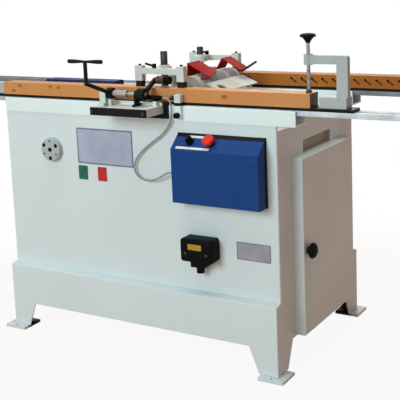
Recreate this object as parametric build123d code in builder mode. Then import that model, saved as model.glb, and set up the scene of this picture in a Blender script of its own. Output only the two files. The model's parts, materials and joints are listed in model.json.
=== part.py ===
"""Double mortising machine for shutter stiles.

Millimetres, +Z up, +X to the right along the rails, the operator's side faces -Y.
The origin is on the floor in the middle of the four anchor holes.
"""

import os
from math import asin, cos, degrees, pi, radians, sin, sqrt, tan

from build123d import *

os.makedirs("parts", exist_ok=True)

# Clearances, and how far a cutter runs past a face
run_gap = 0.1
fit_gap = 0.05
guide_gap = 0.08
seat_gap = 0.3
overcut = 1

# Cabinet and plinth
body_length = 1106
body_depth = 616
body_edge_r = 5
deck_top = 821
deck_thickness = 8
sheet = 4
plinth_proud = 32
plinth_wall = 6
plinth_top = 249
ledge_drop = 6
ledge_flange = 30
skirt_bottom = 100
leg_top_width = 104
leg_foot_width = 66
side_leg_top_width = 116
side_leg_foot_width = 72
foot_thickness = 10
foot_length = 90
foot_width = 89
foot_overhang_x = 27
foot_overhang_y = 24
anchor_hole_r = 5.5

# Side door, and the hand recess above it
door_front_inset = 104
door_rear_inset = 91
door_bottom = 108
door_top_drop = 121
door_proud = 36.7
door_sheet = 3
door_face = 5
door_lap = 20
door_edge_r = 4
recess_front_inset = 190
recess_length = 224
recess_top_drop = 77
recess_height = 42
recess_depth = 16
hinge_standoff = 10
hinge_offset = 8
hinge_barrel_r = 6
hinge_pin_r = 3
hinge_half = 35
hinge_end_inset = 110
hinge_neck = 4
hinge_leaf = 3
hinge_leaf_length = 26
hinge_pin_short = 2
knob_inset = 31
knob_z = 392
knob_neck = ((0, 12), (6, 11), (11, 24))
knob_rim = ((11, 24), (17, 26), (23, 23))
knob_crown = ((23, 23), (29, 14), (31, 4))
latch_shaft_r = 5
latch_cam_depth = 14
latch_cam_thickness = 5
latch_cam_half = 6
latch_tail = 8
latch_reach = 30

# Beams and rails
beam_proud = 2
beam_depth = 80
beam_height = 49
beam_wall = 6
beam_edge_r = 2.5
beam_left_inset = 2
beam_overhang = 66
gusset_width = 60
gusset_height = 18
gusset_tip_inset = 4
gusset_sag = (25, 7.5)
station_offset = 231
rail_half = 1100
rail_width = 64
rail_height = 16
rail_stand = 2
slot_neck = 14
slot_neck_depth = 5
slot_head = 24
slot_head_depth = 6
pad_length = 60
pad_xs = (-450, -150, 150, 450)

# Carriages and stiles
bar_length = 1500
bar_width = 60
bar_thickness = 9
front_bar_x = 50
rear_bar_x = 534
key_offset = 450
key_length = 80
stile_length = 1228
stile_height = 43
stop_length = 76
stop_width = 44
stop_height = 38
mortise_pitch = 40
mortise_run = 22
mortise_width = 8.6
mortise_depth = 12.6
front_steps = range(-16, 12)
rear_steps = range(-1, 2)
rear_group = range(18)
mid_rail_gap = 214

# Clamps at the right end of each carriage
clamp_width = 20
clamp_screw_inset = 16
clamp_screw_r = 5.5
clamp_boss_r = 14
clamp_boss_proud = 3
clamp_arm_rise = 132
clamp_arm_height = 26
clamp_corner_r = 8
clamp_post_offset = 78
clamp_post_width = 36
clamp_base_offset = 26
clamp_base_height = 34
clamp_pad_r = 9.5
clamp_pad_step = 1.5
clamp_pad_half = 5
clamp_pad_edge = 1
clamp_knob_rise = 199
clamp_knob_neck = ((0, -4), (7, -4), (8, 0), (18, 13), (23.5, 14))
clamp_knob_rim = ((23.5, 14), (24.5, 17.5), (23, 21.5))
clamp_knob_crown = ((23, 21.5), (14, 24.5), (4, 25))

# Pressers
column_offset = 60
column_r = 12
column_flange = 4
column_flange_height = 10
column_chamfer = 1.5
front_column_x = 87
front_column_rise = 217
rear_column_x = 24
rear_column_rise = 200
presser_beam_offset = 8
presser_beam_width = 24
presser_beam_rise = 42
presser_beam_height = 20
presser_boss_r = 26
presser_collar_r = 18
presser_collar_height = 6
presser_arm_half = 15
presser_leg_width = 29
presser_leg_rise = 70
presser_leg_edge = 2
presser_foot_height = 19
presser_foot_width = 26
presser_foot_depth = 22
presser_cap_r = 5
presser_cap_height = 5
front_legs = (23, 188)
rear_legs = (-35, 149)
front_lock_x = 81
rear_lock_x = 23
lock_stud_r = 4
lock_stud_length = 12
lock_hub_r = 7
lock_hub_height = 14
lock_arm_rise = 5.5
lock_arm_r = 3.7
lock_end_edge = 2.5
lock_reach = 36
lock_lift = 9

# Router heads, measured from the work line and the middle of the mortises
head_x = 178
slope = 35
guide_offset = 68
guide_width = 20
guide_height = 12
guide_half = 151
slide_left = 98
slide_right = 92
slide_offset = 105
slide_width = 90
slide_skirt = 3
slide_rise = 25
way_inset = 5
way_clear = 12
way_key_width = 16
way_key_height = 8
way_key_ends = (-78, 26)
way_cut_ends = (-80, 40)
way_cut_depth = 20
web_width = 10
stroke = 22
plunge = 20
bit_r = 4
bit_length = 25
bit_standoff = 8
chuck_r = 13
chuck_tip_r = 9
chuck_tip = 10
chuck_length = 25
motor_r = 33
motor_length = 110
motor_nose_r = 20
motor_nose = 8
motor_tail = 8
motor_tail_r = 27
motor_grooves = 4
motor_groove_pitch = 6
motor_groove_width = 3
motor_groove_depth = 2
spindle_r = 8
spindle_tail = 20
housing_wall = 8
housing_front = 7
shoe_inset = 7
shoe_width = 58
shoe_ends = (-70, 8)
shoe_thickness = 12
guard_sheet = 2.5
guard_hinge_clear = 3.4
guard_hinge_r = 5
guard_pin_r = 3
guard_barrel_half = 20
guard_gap_margin = 2
guard_gap_half = 8
front_guard_span = (15, 98)
front_guard_wall = -38
front_guard_ridge = 48.4
front_guard_low = (50, 2.9)
front_guard_far_low = 32
guard_lip = 10
flap_thickness = 3
flap_inset = 10
flap_bottom = 9
flap_right = 25
rear_guard_span = (-1, 65)
rear_guard_folds = ((-24.5, 7.4), (1, 48.4), (75, 7.4))
handle_rod_r = 4
handle_rod_out = 4.2
handle_rod_drop = 4
handle_rod_start = 4
handle_rod_length = 108
handle_rod_lift = 21
deflector_top = (46, 23.9)
deflector_low = (109, -2.6)
deflector_half = 126
deflector_sheet = 4
deflector_post_x = 102
deflector_post_half = 80
deflector_post_r = 5
port_x = 85
port_y = -86
port_r = 20
port_cut = 12
rocker_reach = 60
rocker_width = 24
rocker_thickness = 8
rocker_sink = 3
rocker_pin_r = 5
rocker_slot_gap = 0.4
rocker_slot_run = 8
rocker_slot_shift = 1.5
pivot_r = 6
pivot_foot_r = 11
pivot_cap_r = 9
pivot_cap_height = 4
lug_half = 10
lug_clearance = 0.5

# Lever bracket
bracket_x = (-77, 145)
bracket_reach = 110
bracket_plate = 10
bracket_front = 6
bracket_back = 6
bracket_drop = 26
back_drop = 44
back_wing = 18
back_wing_rise = 9
cheek_width = 8
table_rib_width = 8
table_rib_height = 10
table_slots = ((40, -34), (108, -38))
table_slot_length = 44
table_slot_width = 11
shaft_r = 6
shaft_reach = 45
shaft_rise = 40
shaft_left_proud = 4
shaft_right_proud = 2
ear_r = 13
ear_foot = 11
ear_foot_height = 8
left_ear_width = 27
right_ear_x = (65, 72)
ear_edge_r = 5
sleeve_right = 32
sleeve_r = 11.5
feed_hub_x = (-47, -24)
feed_hub_r = 19
hub_chamfer = 1.5
feed_crank = 64
crank_half = 9
crank_inset = (5, 6)
crank_tail = 9
crank_slot_inset = (2, 3)
crank_slot_half = 36
crank_pin_r = 5
crank_pin_proud = 7
yoke_gap = 0.4
yoke_half = 5
yoke_length_half = 14
yoke_height_half = 12
yoke_slot_half = 9.5
feed_x = -22
feed_rod_r = 6
feed_rod_hole_r = 8
feed_arm_span = (27, 57)
feed_arm_half = 12
feed_arm_rise = 8
lever_arm_inset = 10
lever_arm_r = 7
lever_reach = 127
lever_post_r = 6.5
lever_post_rise = (47, 112)
handle_half = 68
handle_rise = 7
handle_grip = ((0, 5), (3, 6.8), (20, 6.8), (58, 4.5), (62, 3.6))
stroke_hub_x = (76, 104)
stroke_hub_r = 20
stroke_arm_r = 8
stroke_arm_inset = 8
stroke_reach = 71
stroke_lift = 40
stroke_pin_r = 5
stroke_pin_length = 60
stroke_grip_r = 13.5
stroke_grip_start = 8
stroke_grip_end = 62
stroke_grip_edge = 4
sensor_offset = 27
sensor_drop = 13
sensor_r = 8
sensor_x = (93, 144)
sensor_chamfer = 1
sensor_outlet_r = 5.5
sensor_outlet = 8
saddle_x = (120, 134)
saddle_half = 11
saddle_rise = 2

# Carriage stop on the beam
stop_x = (192, 216)
stop_depth = 12
stop_drop = 42
stop_rise = 39
stop_edge_r = 4
stop_knob_drop = 29
stop_knob_r = 9.5
stop_knob_length = 16
stop_knob_chamfer = 2
stop_stud_r = 4
stop_stud_clear = 0.5
stop_screw_r = 4
stop_screw_length = 8
stop_head_r = 7.5
stop_head_length = 10
stop_screw_rise = 26
stop_screw_depth = 3

# Front panel
box_right_inset = 37
box_width = 320
box_depth = 57
box_top_drop = 40
box_bend_drop = 86
box_bottom_drop = 262
box_wall = 3
box_edge_r = 3
box_lid_skin = (1.8, 4.5)
box_back = 4
box_back_proud = 1.5
lid_hole_r = 11
lid_hole_depth = 12
operator_bore = 6
collar_height = 5
collar_neck_r = 10.7
collar_neck = 18
legend_low = (79, 11, 124, 9)
legend_high = (86, 12, 78, 9)
legend_thickness = 0.8
estop_x = 136
estop_r = 20
estop_height = 13
estop_edge_r = 5
estop_collar_r = 15
estop_travel = 6
estop_clear = 1
operator_stem = 10
selector_x = 62
selector_r = 12
selector_height = 7
selector_collar_r = 13
selector_bar = (24, 8, 11)
selector_turn = 60
plug_inset = 19
plug_width = 120
plug_z = (362, 440)
plug_depth = 54
plug_chamfer = 9
plug_neck_half = 26
plug_neck_depth = (6, 46)
plug_neck_drop = 18
plug_gland_r = 13
plug_gland_drop = 40
plug_gland_bore = 6
plug_gland_bore_depth = 10
apron_screw = (10, 6, 4)
plug_screw = (20, 5, 2)
plug_screw_rise = 30
box_screw = (18, 5, 2)
box_screw_drop = 30
name_plate_inset = 323
name_plate = (238, 173, 46)
data_plate = (153, 31, 377, 436)
sticker = (123, 231, 181)
plate_thickness = 1.5
sticker_thickness = 0.8
flange_inset = 213
flange_drop = 130
flange_r = 42
flange_height = 20
flange_chamfer = 3
flange_bore_r = 8
flange_hole_ring = 31
flange_holes = 3
flange_hole_start = 30
flange_pin_start = 90
flange_hole_r = 7
flange_pin_r = 3.5
flange_hole_depth = 14
deck_cover_inset = 71
deck_cover_length = 317
deck_cover_offset = 110
deck_cover_width = 60
deck_cover_height = 100
deck_cover_edge_r = 6
deck_cover_sheet = 2
gland_depth = 29
gland_drop = 169
gland_r = 6.5
gland_length = 12
cord_r = 3
bend_share = 0.45

body_top = deck_top - deck_thickness
half_length = body_length / 2
front = -body_depth / 2
rear = body_depth / 2
plinth_half = rear + plinth_proud
beam_top = deck_top + beam_height
beam_x = (-half_length + beam_left_inset, half_length + beam_overhang)
front_mid = front - beam_proud + beam_depth / 2
beam_front = front_mid - beam_depth / 2
work_y = front_mid + station_offset
rear_mid = work_y + station_offset
rail_top = beam_top + rail_stand
rail_bottom = rail_top - rail_height
bar_bottom = rail_top + run_gap
bar_top = bar_bottom + bar_thickness
stile_top = bar_top + stile_height
slot_z = bar_top + stile_height / 2
door_y = (front + door_front_inset, rear - door_rear_inset)
door_top = deck_top - door_top_drop
door_x = (half_length + seat_gap, half_length + door_proud)
opening_y = (door_y[0] + door_lap, door_y[1] - door_lap)
opening_z = (door_bottom + door_lap, door_top - door_lap)
hinge_x = half_length + hinge_standoff
hinge_y = door_y[1] + hinge_offset
hinge_zs = (door_bottom + hinge_end_inset, door_top - hinge_end_inset)
knob_y = door_y[0] + knob_inset
column_y = front_mid + column_offset
presser_y = front_mid + presser_beam_offset
presser_low = stile_top + presser_beam_rise
presser_high = presser_low + presser_beam_height
presser_leg_top = stile_top + presser_leg_rise
guide_xs = (head_x - guide_offset, head_x + guide_offset)
guide_top = deck_top + guide_height
slide_x = (head_x - slide_left, head_x + slide_right)
slide_y = (front_mid + slide_offset, front_mid + slide_offset + slide_width)
slide_bottom = deck_top + slide_skirt
slide_top = deck_top + slide_rise
rocker_z = slide_top - rocker_sink
way_y = (slide_y[0] + way_inset, slide_y[1] - way_inset)
shoe_y = (slide_y[0] + shoe_inset, slide_y[0] + shoe_inset + shoe_width)
way_drop = motor_r + way_clear
housing_r = motor_r + housing_wall
housing_top = slot_z + housing_r
slope_along = (cos(radians(slope)), -sin(radians(slope)))
slope_out = (sin(radians(slope)), cos(radians(slope)))
bit_tip = front_mid + bar_width / 2 + bit_standoff
chuck_y = bit_tip + bit_length
nose_y = chuck_y + chuck_length + overcut
motor_face = nose_y + motor_nose
motor_x = head_x - stroke / 2 * slope_along[0]
motor_z = slot_z - stroke / 2 * slope_along[1]
knuckle_x = slide_x[0] + web_width / 2
knuckle_z = housing_top + guard_hinge_clear
shaft_y = front - shaft_reach - beam_proud
shaft_z = beam_top + shaft_rise
feed_z = shaft_z - feed_crank
table_z = (beam_top - bracket_plate, beam_top)
table_y = (beam_front - bracket_reach + bracket_front, beam_front - bracket_back)
left_ear_x = (bracket_x[0], bracket_x[0] + left_ear_width)
sensor_y = shaft_y + sensor_offset
sensor_z = shaft_z - sensor_drop
front_mortises = [mortise_pitch * step for step in front_steps]
rear_mortises = [mortise_pitch * step for step in rear_steps]
rear_mortises += [mid_rail_gap + mortise_pitch * step for step in rear_group]


def block(x, y, z, mode=Mode.ADD):
    """Add or cut a box between low and high pairs in the open part."""
    with Locations(((x[0] + x[1]) / 2, (y[0] + y[1]) / 2, (z[0] + z[1]) / 2)):
        Box(x[1] - x[0], y[1] - y[0], z[1] - z[0], mode=mode)


def about(middle, half):
    """Return the low and high values on either side of a middle."""
    return (middle - half, middle + half)


def bar(start, end, radius, mode=Mode.ADD):
    """Add or cut a round bar between two points in the open part."""
    axis = Vector(*end) - Vector(*start)
    with BuildSketch(Plane(origin=start, z_dir=axis)) as section:
        Circle(radius)
    extrude(section.sketch, amount=axis.length, mode=mode)


def bar_x(x, y, z, radius, mode=Mode.ADD):
    """Add or cut a round bar along X, between the two values of x."""
    bar((x[0], y, z), (x[1], y, z), radius, mode)


def bar_y(x, y, z, radius, mode=Mode.ADD):
    """Add or cut a round bar along Y, between the two values of y."""
    bar((x, y[0], z), (x, y[1], z), radius, mode)


def bar_z(x, y, z, radius, mode=Mode.ADD):
    """Add or cut a round bar along Z, between the two values of z."""
    bar((x, y, z[0]), (x, y, z[1]), radius, mode)


def plate(points, y, mode=Mode.ADD):
    """Add or cut a prism drawn in X and Z between two Y values."""
    with BuildSketch(Plane(origin=(0, y[1], 0), x_dir=(1, 0, 0), z_dir=(0, -1, 0))) as section:
        with BuildLine():
            Polyline(*points, close=True)
        make_face()
    extrude(section.sketch, amount=y[1] - y[0], mode=mode)


def rib(points, x, mode=Mode.ADD):
    """Add or cut a prism drawn in Y and Z between two X values."""
    with BuildSketch(Plane.YZ.offset(x[0])) as section:
        with BuildLine():
            Polyline(*points, close=True)
        make_face()
    extrude(section.sketch, amount=x[1] - x[0], mode=mode)


def strip(start, end, thickness, y):
    """Add a sheet drawn as a line in X and Z, thickened below, between two Y values."""
    run = Vector(end[0] - start[0], end[1] - start[1])
    unit = run / run.length
    off = (unit.Y * thickness, -unit.X * thickness)
    low_end = (end[0] + off[0], end[1] + off[1])
    low_start = (start[0] + off[0], start[1] + off[1])
    plate([start, end, low_end, low_start], y)


def across(y, is_rear):
    """Return a front station's Y value, mirrored in the work plane for the rear one."""
    return 2 * work_y - y if is_rear else y


def along(y, is_rear):
    """Return a front station's pair of Y values in its own order, mirrored for the rear one."""
    return (across(y[0], is_rear), across(y[1], is_rear))


def span(y, is_rear):
    """Return a front station's Y pair, low value first, mirrored for the rear one."""
    return (across(y[1], True), across(y[0], True)) if is_rear else (y[0], y[1])


def from_slide(offsets):
    """Return a Y pair measured from the near face of the front slide."""
    return (slide_y[0] + offsets[0], slide_y[0] + offsets[1])


def from_head(offset):
    """Return X and Z of a point measured from the middle of the mortise at the head."""
    return (head_x + offset[0], slot_z + offset[1])


def from_housing(offset):
    """Return X and Z of a point measured from the head's middle and the height of the motor housings."""
    return (head_x + offset[0], housing_top + offset[1])


def slanted(run, out):
    """Return X and Z of a point on the slanted way, along it and out of it."""
    x = head_x + run * slope_along[0] + (out - way_drop) * slope_out[0]
    z = slot_z + run * slope_along[1] + (out - way_drop) * slope_out[1]
    return (x, z)


def slab(ends, low, high):
    """Return the outline of a slab lying along the slanted way."""
    return [slanted(ends[0], low), slanted(ends[1], low), slanted(ends[1], high), slanted(ends[0], high)]


def group(*parts):
    """Return several finished pieces as one node of separate solids."""
    return Compound([solid for part in parts for solid in part.solids()])


def save(part, name):
    """Label a finished node and write it out."""
    part.label = name
    export_step(part, "parts/" + name + ".step")


# Cabinet shell with a closed hand recess in its right side
with BuildPart() as cabinet_shell:
    block((-half_length, half_length), (front, rear), (plinth_top, body_top))
    fillet(cabinet_shell.edges().filter_by(Axis.Z), body_edge_r)
    block(
        (-half_length + sheet, half_length - sheet),
        (front + sheet, rear - sheet),
        (plinth_top, body_top),
        Mode.SUBTRACT,
    )
    wall_cut = (half_length - 2 * sheet, half_length + overcut)
    block(wall_cut, opening_y, (plinth_top, opening_z[1]), Mode.SUBTRACT)
    recess_y = (front + recess_front_inset, front + recess_front_inset + recess_length)
    recess_z = (deck_top - recess_top_drop - recess_height, deck_top - recess_top_drop)
    pan_x = (half_length - recess_depth - sheet, half_length - sheet)
    block(pan_x, (recess_y[0] - sheet, recess_y[1] + sheet), (recess_z[0] - sheet, recess_z[1] + sheet))
    block((half_length - recess_depth, half_length + overcut), recess_y, recess_z, Mode.SUBTRACT)
save(cabinet_shell.part, "cabinet_shell")

# Plinth frame with four splayed legs
with BuildPart() as plinth_frame:
    ledge_z = plinth_top - ledge_drop
    outline = [
        (-plinth_half, foot_thickness),
        (-plinth_half, ledge_z),
        (front, plinth_top),
        (rear, plinth_top),
        (plinth_half, ledge_z),
        (plinth_half, foot_thickness),
    ]
    rib(outline, (-half_length, half_length))
    inside_x = (-half_length + plinth_wall, half_length - plinth_wall)
    inside_y = (-plinth_half + plinth_wall, plinth_half - plinth_wall)
    block(inside_x, inside_y, (0, ledge_z - plinth_wall), Mode.SUBTRACT)
    flange_y = (front + ledge_flange, rear - ledge_flange)
    block(inside_x, flange_y, (0, plinth_top + overcut), Mode.SUBTRACT)
    leg_top_x = half_length - leg_top_width
    leg_foot_x = half_length - leg_foot_width
    front_gap = [(-leg_foot_x, 0), (leg_foot_x, 0), (leg_top_x, skirt_bottom), (-leg_top_x, skirt_bottom)]
    plate(front_gap, (-plinth_half - overcut, plinth_half + overcut), Mode.SUBTRACT)
    leg_top_y = plinth_half - side_leg_top_width
    leg_foot_y = plinth_half - side_leg_foot_width
    side_gap = [(-leg_foot_y, 0), (leg_foot_y, 0), (leg_top_y, skirt_bottom), (-leg_top_y, skirt_bottom)]
    rib(side_gap, (-half_length - overcut, half_length + overcut), Mode.SUBTRACT)
    door_cut_x = (half_length - 2 * plinth_wall, half_length + overcut)
    block(door_cut_x, opening_y, (opening_z[0], plinth_top + overcut), Mode.SUBTRACT)
save(plinth_frame.part, "plinth_frame")

# Foot plates with anchor holes
foot_x = half_length + foot_overhang_x - foot_length / 2
foot_y = plinth_half + foot_overhang_y - foot_width / 2
anchor_y = plinth_half + foot_overhang_y / 2
with BuildPart() as foot_plates:
    with GridLocations(2 * foot_x, 2 * foot_y, 2, 2):
        Box(foot_length, foot_width, foot_thickness, align=(Align.CENTER, Align.CENTER, Align.MIN))
    with GridLocations(2 * foot_x, 2 * anchor_y, 2, 2):
        Cylinder(anchor_hole_r, 3 * foot_thickness, mode=Mode.SUBTRACT)
save(foot_plates.part, "foot_plates")

# Top deck
with BuildPart() as top_deck:
    block((-half_length, half_length), (front, rear), (body_top, deck_top))
    fillet(top_deck.edges().filter_by(Axis.Z), body_edge_r)
save(top_deck.part, "top_deck")


def channel(mid, has_rod_hole):
    """Return a channel beam lying on the deck, open at the top for a rail."""
    sides = about(mid, beam_depth / 2)
    with BuildPart() as part:
        block(beam_x, sides, (deck_top, beam_top))
        fillet(part.edges().filter_by(Axis.X).group_by(Axis.Z)[-1], beam_edge_r)
        inside = (sides[0] + beam_wall, sides[1] - beam_wall)
        block(beam_x, inside, (deck_top + beam_wall, beam_top), Mode.SUBTRACT)
        if has_rod_hole:
            hole_y = (sides[0] - overcut, sides[1] + overcut)
            bar_y(feed_x, hole_y, feed_z, feed_rod_hole_r, Mode.SUBTRACT)
    return part.part


save(channel(front_mid, True), "front_beam")
save(channel(rear_mid, False), "rear_beam")

# Curved gussets under the right ends of the beams
with BuildPart() as beam_gussets:
    for gusset_mid in (front_mid, rear_mid):
        gusset_far = gusset_mid + gusset_width / 2
        with BuildSketch(Plane(origin=(0, gusset_far, 0), x_dir=(1, 0, 0), z_dir=(0, -1, 0))):
            with BuildLine():
                tip = (beam_x[1] - gusset_tip_inset, deck_top)
                root = (half_length, deck_top - gusset_height)
                sag = (half_length + gusset_sag[0], deck_top - gusset_sag[1])
                Polyline(tip, (half_length, deck_top), root)
                ThreePointArc(root, sag, tip)
            make_face()
        extrude(amount=gusset_width)


def rail(mid):
    """Return a rail with a T-slot along its top."""
    ends = (-rail_half, rail_half)
    neck_bottom = rail_top - slot_neck_depth
    with BuildPart() as part:
        block(ends, about(mid, rail_width / 2), (rail_bottom, rail_top))
        block(ends, about(mid, slot_neck / 2), (neck_bottom, rail_top), Mode.SUBTRACT)
        head_z = (neck_bottom - slot_head_depth, neck_bottom)
        block(ends, about(mid, slot_head / 2), head_z, Mode.SUBTRACT)
    return part.part


save(rail(front_mid), "front_rail")
save(rail(rear_mid), "rear_rail")

# Pads between beams and rails
with BuildPart() as rail_pads:
    for pad_mid in (front_mid, rear_mid):
        for pad_x in pad_xs:
            pad_z = (deck_top + beam_wall, rail_bottom)
            block(about(pad_x, pad_length / 2), about(pad_mid, rail_width / 2), pad_z)

# Chip deflector over both slides, a sloping sheet on two posts
with BuildPart() as chip_deflector:
    strip(from_head(deflector_top), from_head(deflector_low), deflector_sheet, about(work_y, deflector_half))
    deflector_fall = (deflector_top[1] - deflector_low[1]) / (deflector_low[0] - deflector_top[0])
    post_x = head_x + deflector_post_x
    post_top = slot_z + deflector_low[1] + (deflector_low[0] - deflector_post_x) * deflector_fall
    for post_y in about(work_y, deflector_post_half):
        bar_z(post_x, post_y, (deck_top, post_top - deflector_sheet / 2), deflector_post_r)
    port_z = slot_z + deflector_low[1] + (deflector_low[0] - port_x) * deflector_fall
    port_low = (head_x + port_x - port_cut * deflector_fall, work_y + port_y, port_z - port_cut)
    port_high = (head_x + port_x + port_cut * deflector_fall, work_y + port_y, port_z + port_cut)
    bar(port_low, port_high, port_r, Mode.SUBTRACT)
save(group(rail_pads.part, beam_gussets.part, chip_deflector.part), "deck_fittings")

# Side door, a folded pan with two lift-off hinge barrels
with BuildPart() as side_door:
    block(door_x, door_y, (door_bottom, door_top))
    fillet(side_door.faces().sort_by(Axis.X)[-1].edges(), door_edge_r)
    pan_y = (door_y[0] + door_sheet, door_y[1] - door_sheet)
    pan_z = (door_bottom + door_sheet, door_top - door_sheet)
    block((door_x[0] - overcut, door_x[1] - door_face), pan_y, pan_z, Mode.SUBTRACT)
    for hinge_z in hinge_zs:
        barrel_z = (hinge_z, hinge_z + hinge_half)
        block(about(hinge_x, hinge_neck), (door_y[1], hinge_y), barrel_z)
        bar_z(hinge_x, hinge_y, barrel_z, hinge_barrel_r)
        bore_z = (barrel_z[0] - overcut, barrel_z[1] + overcut)
        bar_z(hinge_x, hinge_y, bore_z, hinge_pin_r + fit_gap, Mode.SUBTRACT)
    bore_x = (door_x[1] - 2 * door_face, door_x[1] + overcut)
    bar_x(bore_x, knob_y, knob_z, latch_shaft_r + fit_gap, Mode.SUBTRACT)
save(side_door.part, "side_door")

# Fixed hinge leaves with their pins
with BuildPart() as door_hinges:
    for hinge_z in hinge_zs:
        leaf_z = (hinge_z - hinge_half, hinge_z - seat_gap)
        leaf_y = (hinge_y - hinge_neck, hinge_y + hinge_leaf_length)
        block((half_length, half_length + hinge_leaf), leaf_y, leaf_z)
        block((half_length, hinge_x), about(hinge_y, hinge_neck), leaf_z)
        bar_z(hinge_x, hinge_y, leaf_z, hinge_barrel_r)
        bar_z(hinge_x, hinge_y, (leaf_z[1], hinge_z + hinge_half - hinge_pin_short), hinge_pin_r)
save(door_hinges.part, "door_hinges")


def shifted(points, move):
    """Return the points of an outline moved by a pair of values."""
    return [(point[0] + move[0], point[1] + move[1]) for point in points]


# Door knob on its shaft, with the latch cam pressed on the inner end
knob_face = door_x[1] + seat_gap
cam_x = (half_length - latch_cam_depth, half_length - latch_cam_depth + latch_cam_thickness)
with BuildPart() as door_knob:
    with BuildSketch(Plane(origin=(0, knob_y, knob_z), x_dir=(1, 0, 0), z_dir=(0, -1, 0))):
        with BuildLine():
            neck = shifted(knob_neck, (knob_face, 0))
            crown = shifted(knob_crown, (knob_face, 0))
            Polyline((cam_x[0], 0), (cam_x[0], latch_shaft_r), (knob_face, latch_shaft_r), *neck)
            ThreePointArc(*shifted(knob_rim, (knob_face, 0)))
            ThreePointArc(*crown)
            Polyline(crown[-1], (crown[-1][0], 0), (cam_x[0], 0))
        make_face()
    revolve(axis=Axis((0, knob_y, knob_z), (1, 0, 0)))
    block(cam_x, about(knob_y, latch_cam_half), (knob_z - latch_tail, knob_z + latch_reach))
save(door_knob.part, "door_knob")


def carriage(x_mid, mid):
    """Return a carriage bar with two T-keys that run in the rail."""
    neck_bottom = rail_top - slot_neck_depth - run_gap
    head_bottom = neck_bottom - slot_head_depth + 2 * run_gap
    with BuildPart() as part:
        block(about(x_mid, bar_length / 2), about(mid, bar_width / 2), (bar_bottom, bar_top))
        for key_x in about(x_mid, key_offset):
            key = about(key_x, key_length / 2)
            block(key, about(mid, slot_neck / 2 - run_gap), (neck_bottom, bar_bottom))
            block(key, about(mid, slot_head / 2 - run_gap), (head_bottom, neck_bottom))
    return part.part


def stile(x_mid, mid, is_rear, mortises):
    """Return a pine stile with its row of slanted mortises on the inner face."""
    inner = mid - bar_width / 2 if is_rear else mid + bar_width / 2
    with BuildPart() as part:
        block(about(x_mid, stile_length / 2), about(mid, bar_width / 2), (bar_top, stile_top))
        with BuildSketch(Plane(origin=(0, inner, 0), x_dir=(1, 0, 0), z_dir=(0, -1, 0))):
            for mortise in mortises:
                with Locations((head_x + mortise, slot_z)):
                    SlotCenterToCenter(mortise_run, mortise_width, rotation=-slope)
        extrude(amount=-mortise_depth if is_rear else mortise_depth, mode=Mode.SUBTRACT)
    return part.part


def end_stop(x_mid, mid):
    """Return the stop block at the left end of a stile."""
    left = x_mid - stile_length / 2
    with BuildPart() as part:
        block((left - stop_length, left), about(mid, stop_width / 2), (bar_top, bar_top + stop_height))
    return part.part


def clamp_frame(x_mid, mid):
    """Return the C-frame of the clamp at the right end of a carriage."""
    end = x_mid + stile_length / 2
    screw_x = end - clamp_screw_inset
    post = (end + clamp_post_offset, end + clamp_post_offset + clamp_post_width)
    arm_z = (bar_top + clamp_arm_rise, bar_top + clamp_arm_rise + clamp_arm_height)
    boss_z = (arm_z[0] - clamp_boss_proud, arm_z[1] + clamp_boss_proud)
    width = about(mid, clamp_width / 2)
    with BuildPart() as part:
        block((screw_x, post[1]), width, arm_z)
        block(post, width, (bar_top, arm_z[1]))
        fillet(part.edges().filter_by(Axis.Y).group_by(Axis.Z)[-1].group_by(Axis.X)[-1], clamp_corner_r)
        base_x = (end + clamp_base_offset, post[1])
        block(base_x, about(mid, stop_width / 2), (bar_top, bar_top + clamp_base_height))
        bar_z(screw_x, mid, boss_z, clamp_boss_r)
        bore_z = (boss_z[0] - overcut, boss_z[1] + overcut)
        bar_z(screw_x, mid, bore_z, clamp_screw_r + fit_gap, Mode.SUBTRACT)
    return part.part


def clamp_pad(x_mid, mid):
    """Return the swivelling pad of a clamp, a cup for the screw's tip."""
    screw_x = x_mid + stile_length / 2 - clamp_screw_inset
    low = stile_top + seat_gap
    cup = low + clamp_pad_half
    with BuildPart() as part:
        bar_z(screw_x, mid, (low, cup), clamp_pad_r)
        bar_z(screw_x, mid, (cup, cup + clamp_pad_half), clamp_pad_r - clamp_pad_step)
        fillet(part.edges().group_by(Axis.Z)[0], clamp_pad_edge)
        bore_z = (cup, cup + clamp_pad_half + overcut)
        bar_z(screw_x, mid, bore_z, clamp_screw_r + fit_gap, Mode.SUBTRACT)
    return part.part


def clamp_screw(x_mid, mid):
    """Return a clamp screw with its round knob pushed on the top."""
    screw_x = x_mid + stile_length / 2 - clamp_screw_inset
    low = stile_top + clamp_pad_half + 2 * seat_gap
    knob_low = bar_top + clamp_knob_rise
    with BuildPart() as screw:
        bar_z(screw_x, mid, (low, knob_low + clamp_knob_neck[0][1]), clamp_screw_r)
    with BuildPart() as knob:
        with BuildSketch(Plane(origin=(screw_x, mid, 0), x_dir=(1, 0, 0), z_dir=(0, -1, 0))):
            with BuildLine():
                neck = shifted(clamp_knob_neck, (0, knob_low))
                crown = shifted(clamp_knob_crown, (0, knob_low))
                Polyline(*neck)
                ThreePointArc(*shifted(clamp_knob_rim, (0, knob_low)))
                ThreePointArc(*crown)
                Polyline(crown[-1], (0, crown[-1][1]), neck[0])
            make_face()
        revolve(axis=Axis((screw_x, mid, 0), (0, 0, 1)))
    return group(screw.part, knob.part)


for prefix, carriage_x, mid_y, at_rear, mortise_row in (
    ("front", front_bar_x, front_mid, False, front_mortises),
    ("rear", rear_bar_x, rear_mid, True, rear_mortises),
):
    save(carriage(carriage_x, mid_y), prefix + "_carriage")
    save(stile(carriage_x, mid_y, at_rear, mortise_row), prefix + "_stile")
    save(group(clamp_frame(carriage_x, mid_y), end_stop(carriage_x, mid_y)), prefix + "_clamp_frame")
    save(clamp_pad(carriage_x, mid_y), prefix + "_clamp_pad")
    save(clamp_screw(carriage_x, mid_y), prefix + "_clamp_screw")

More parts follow.
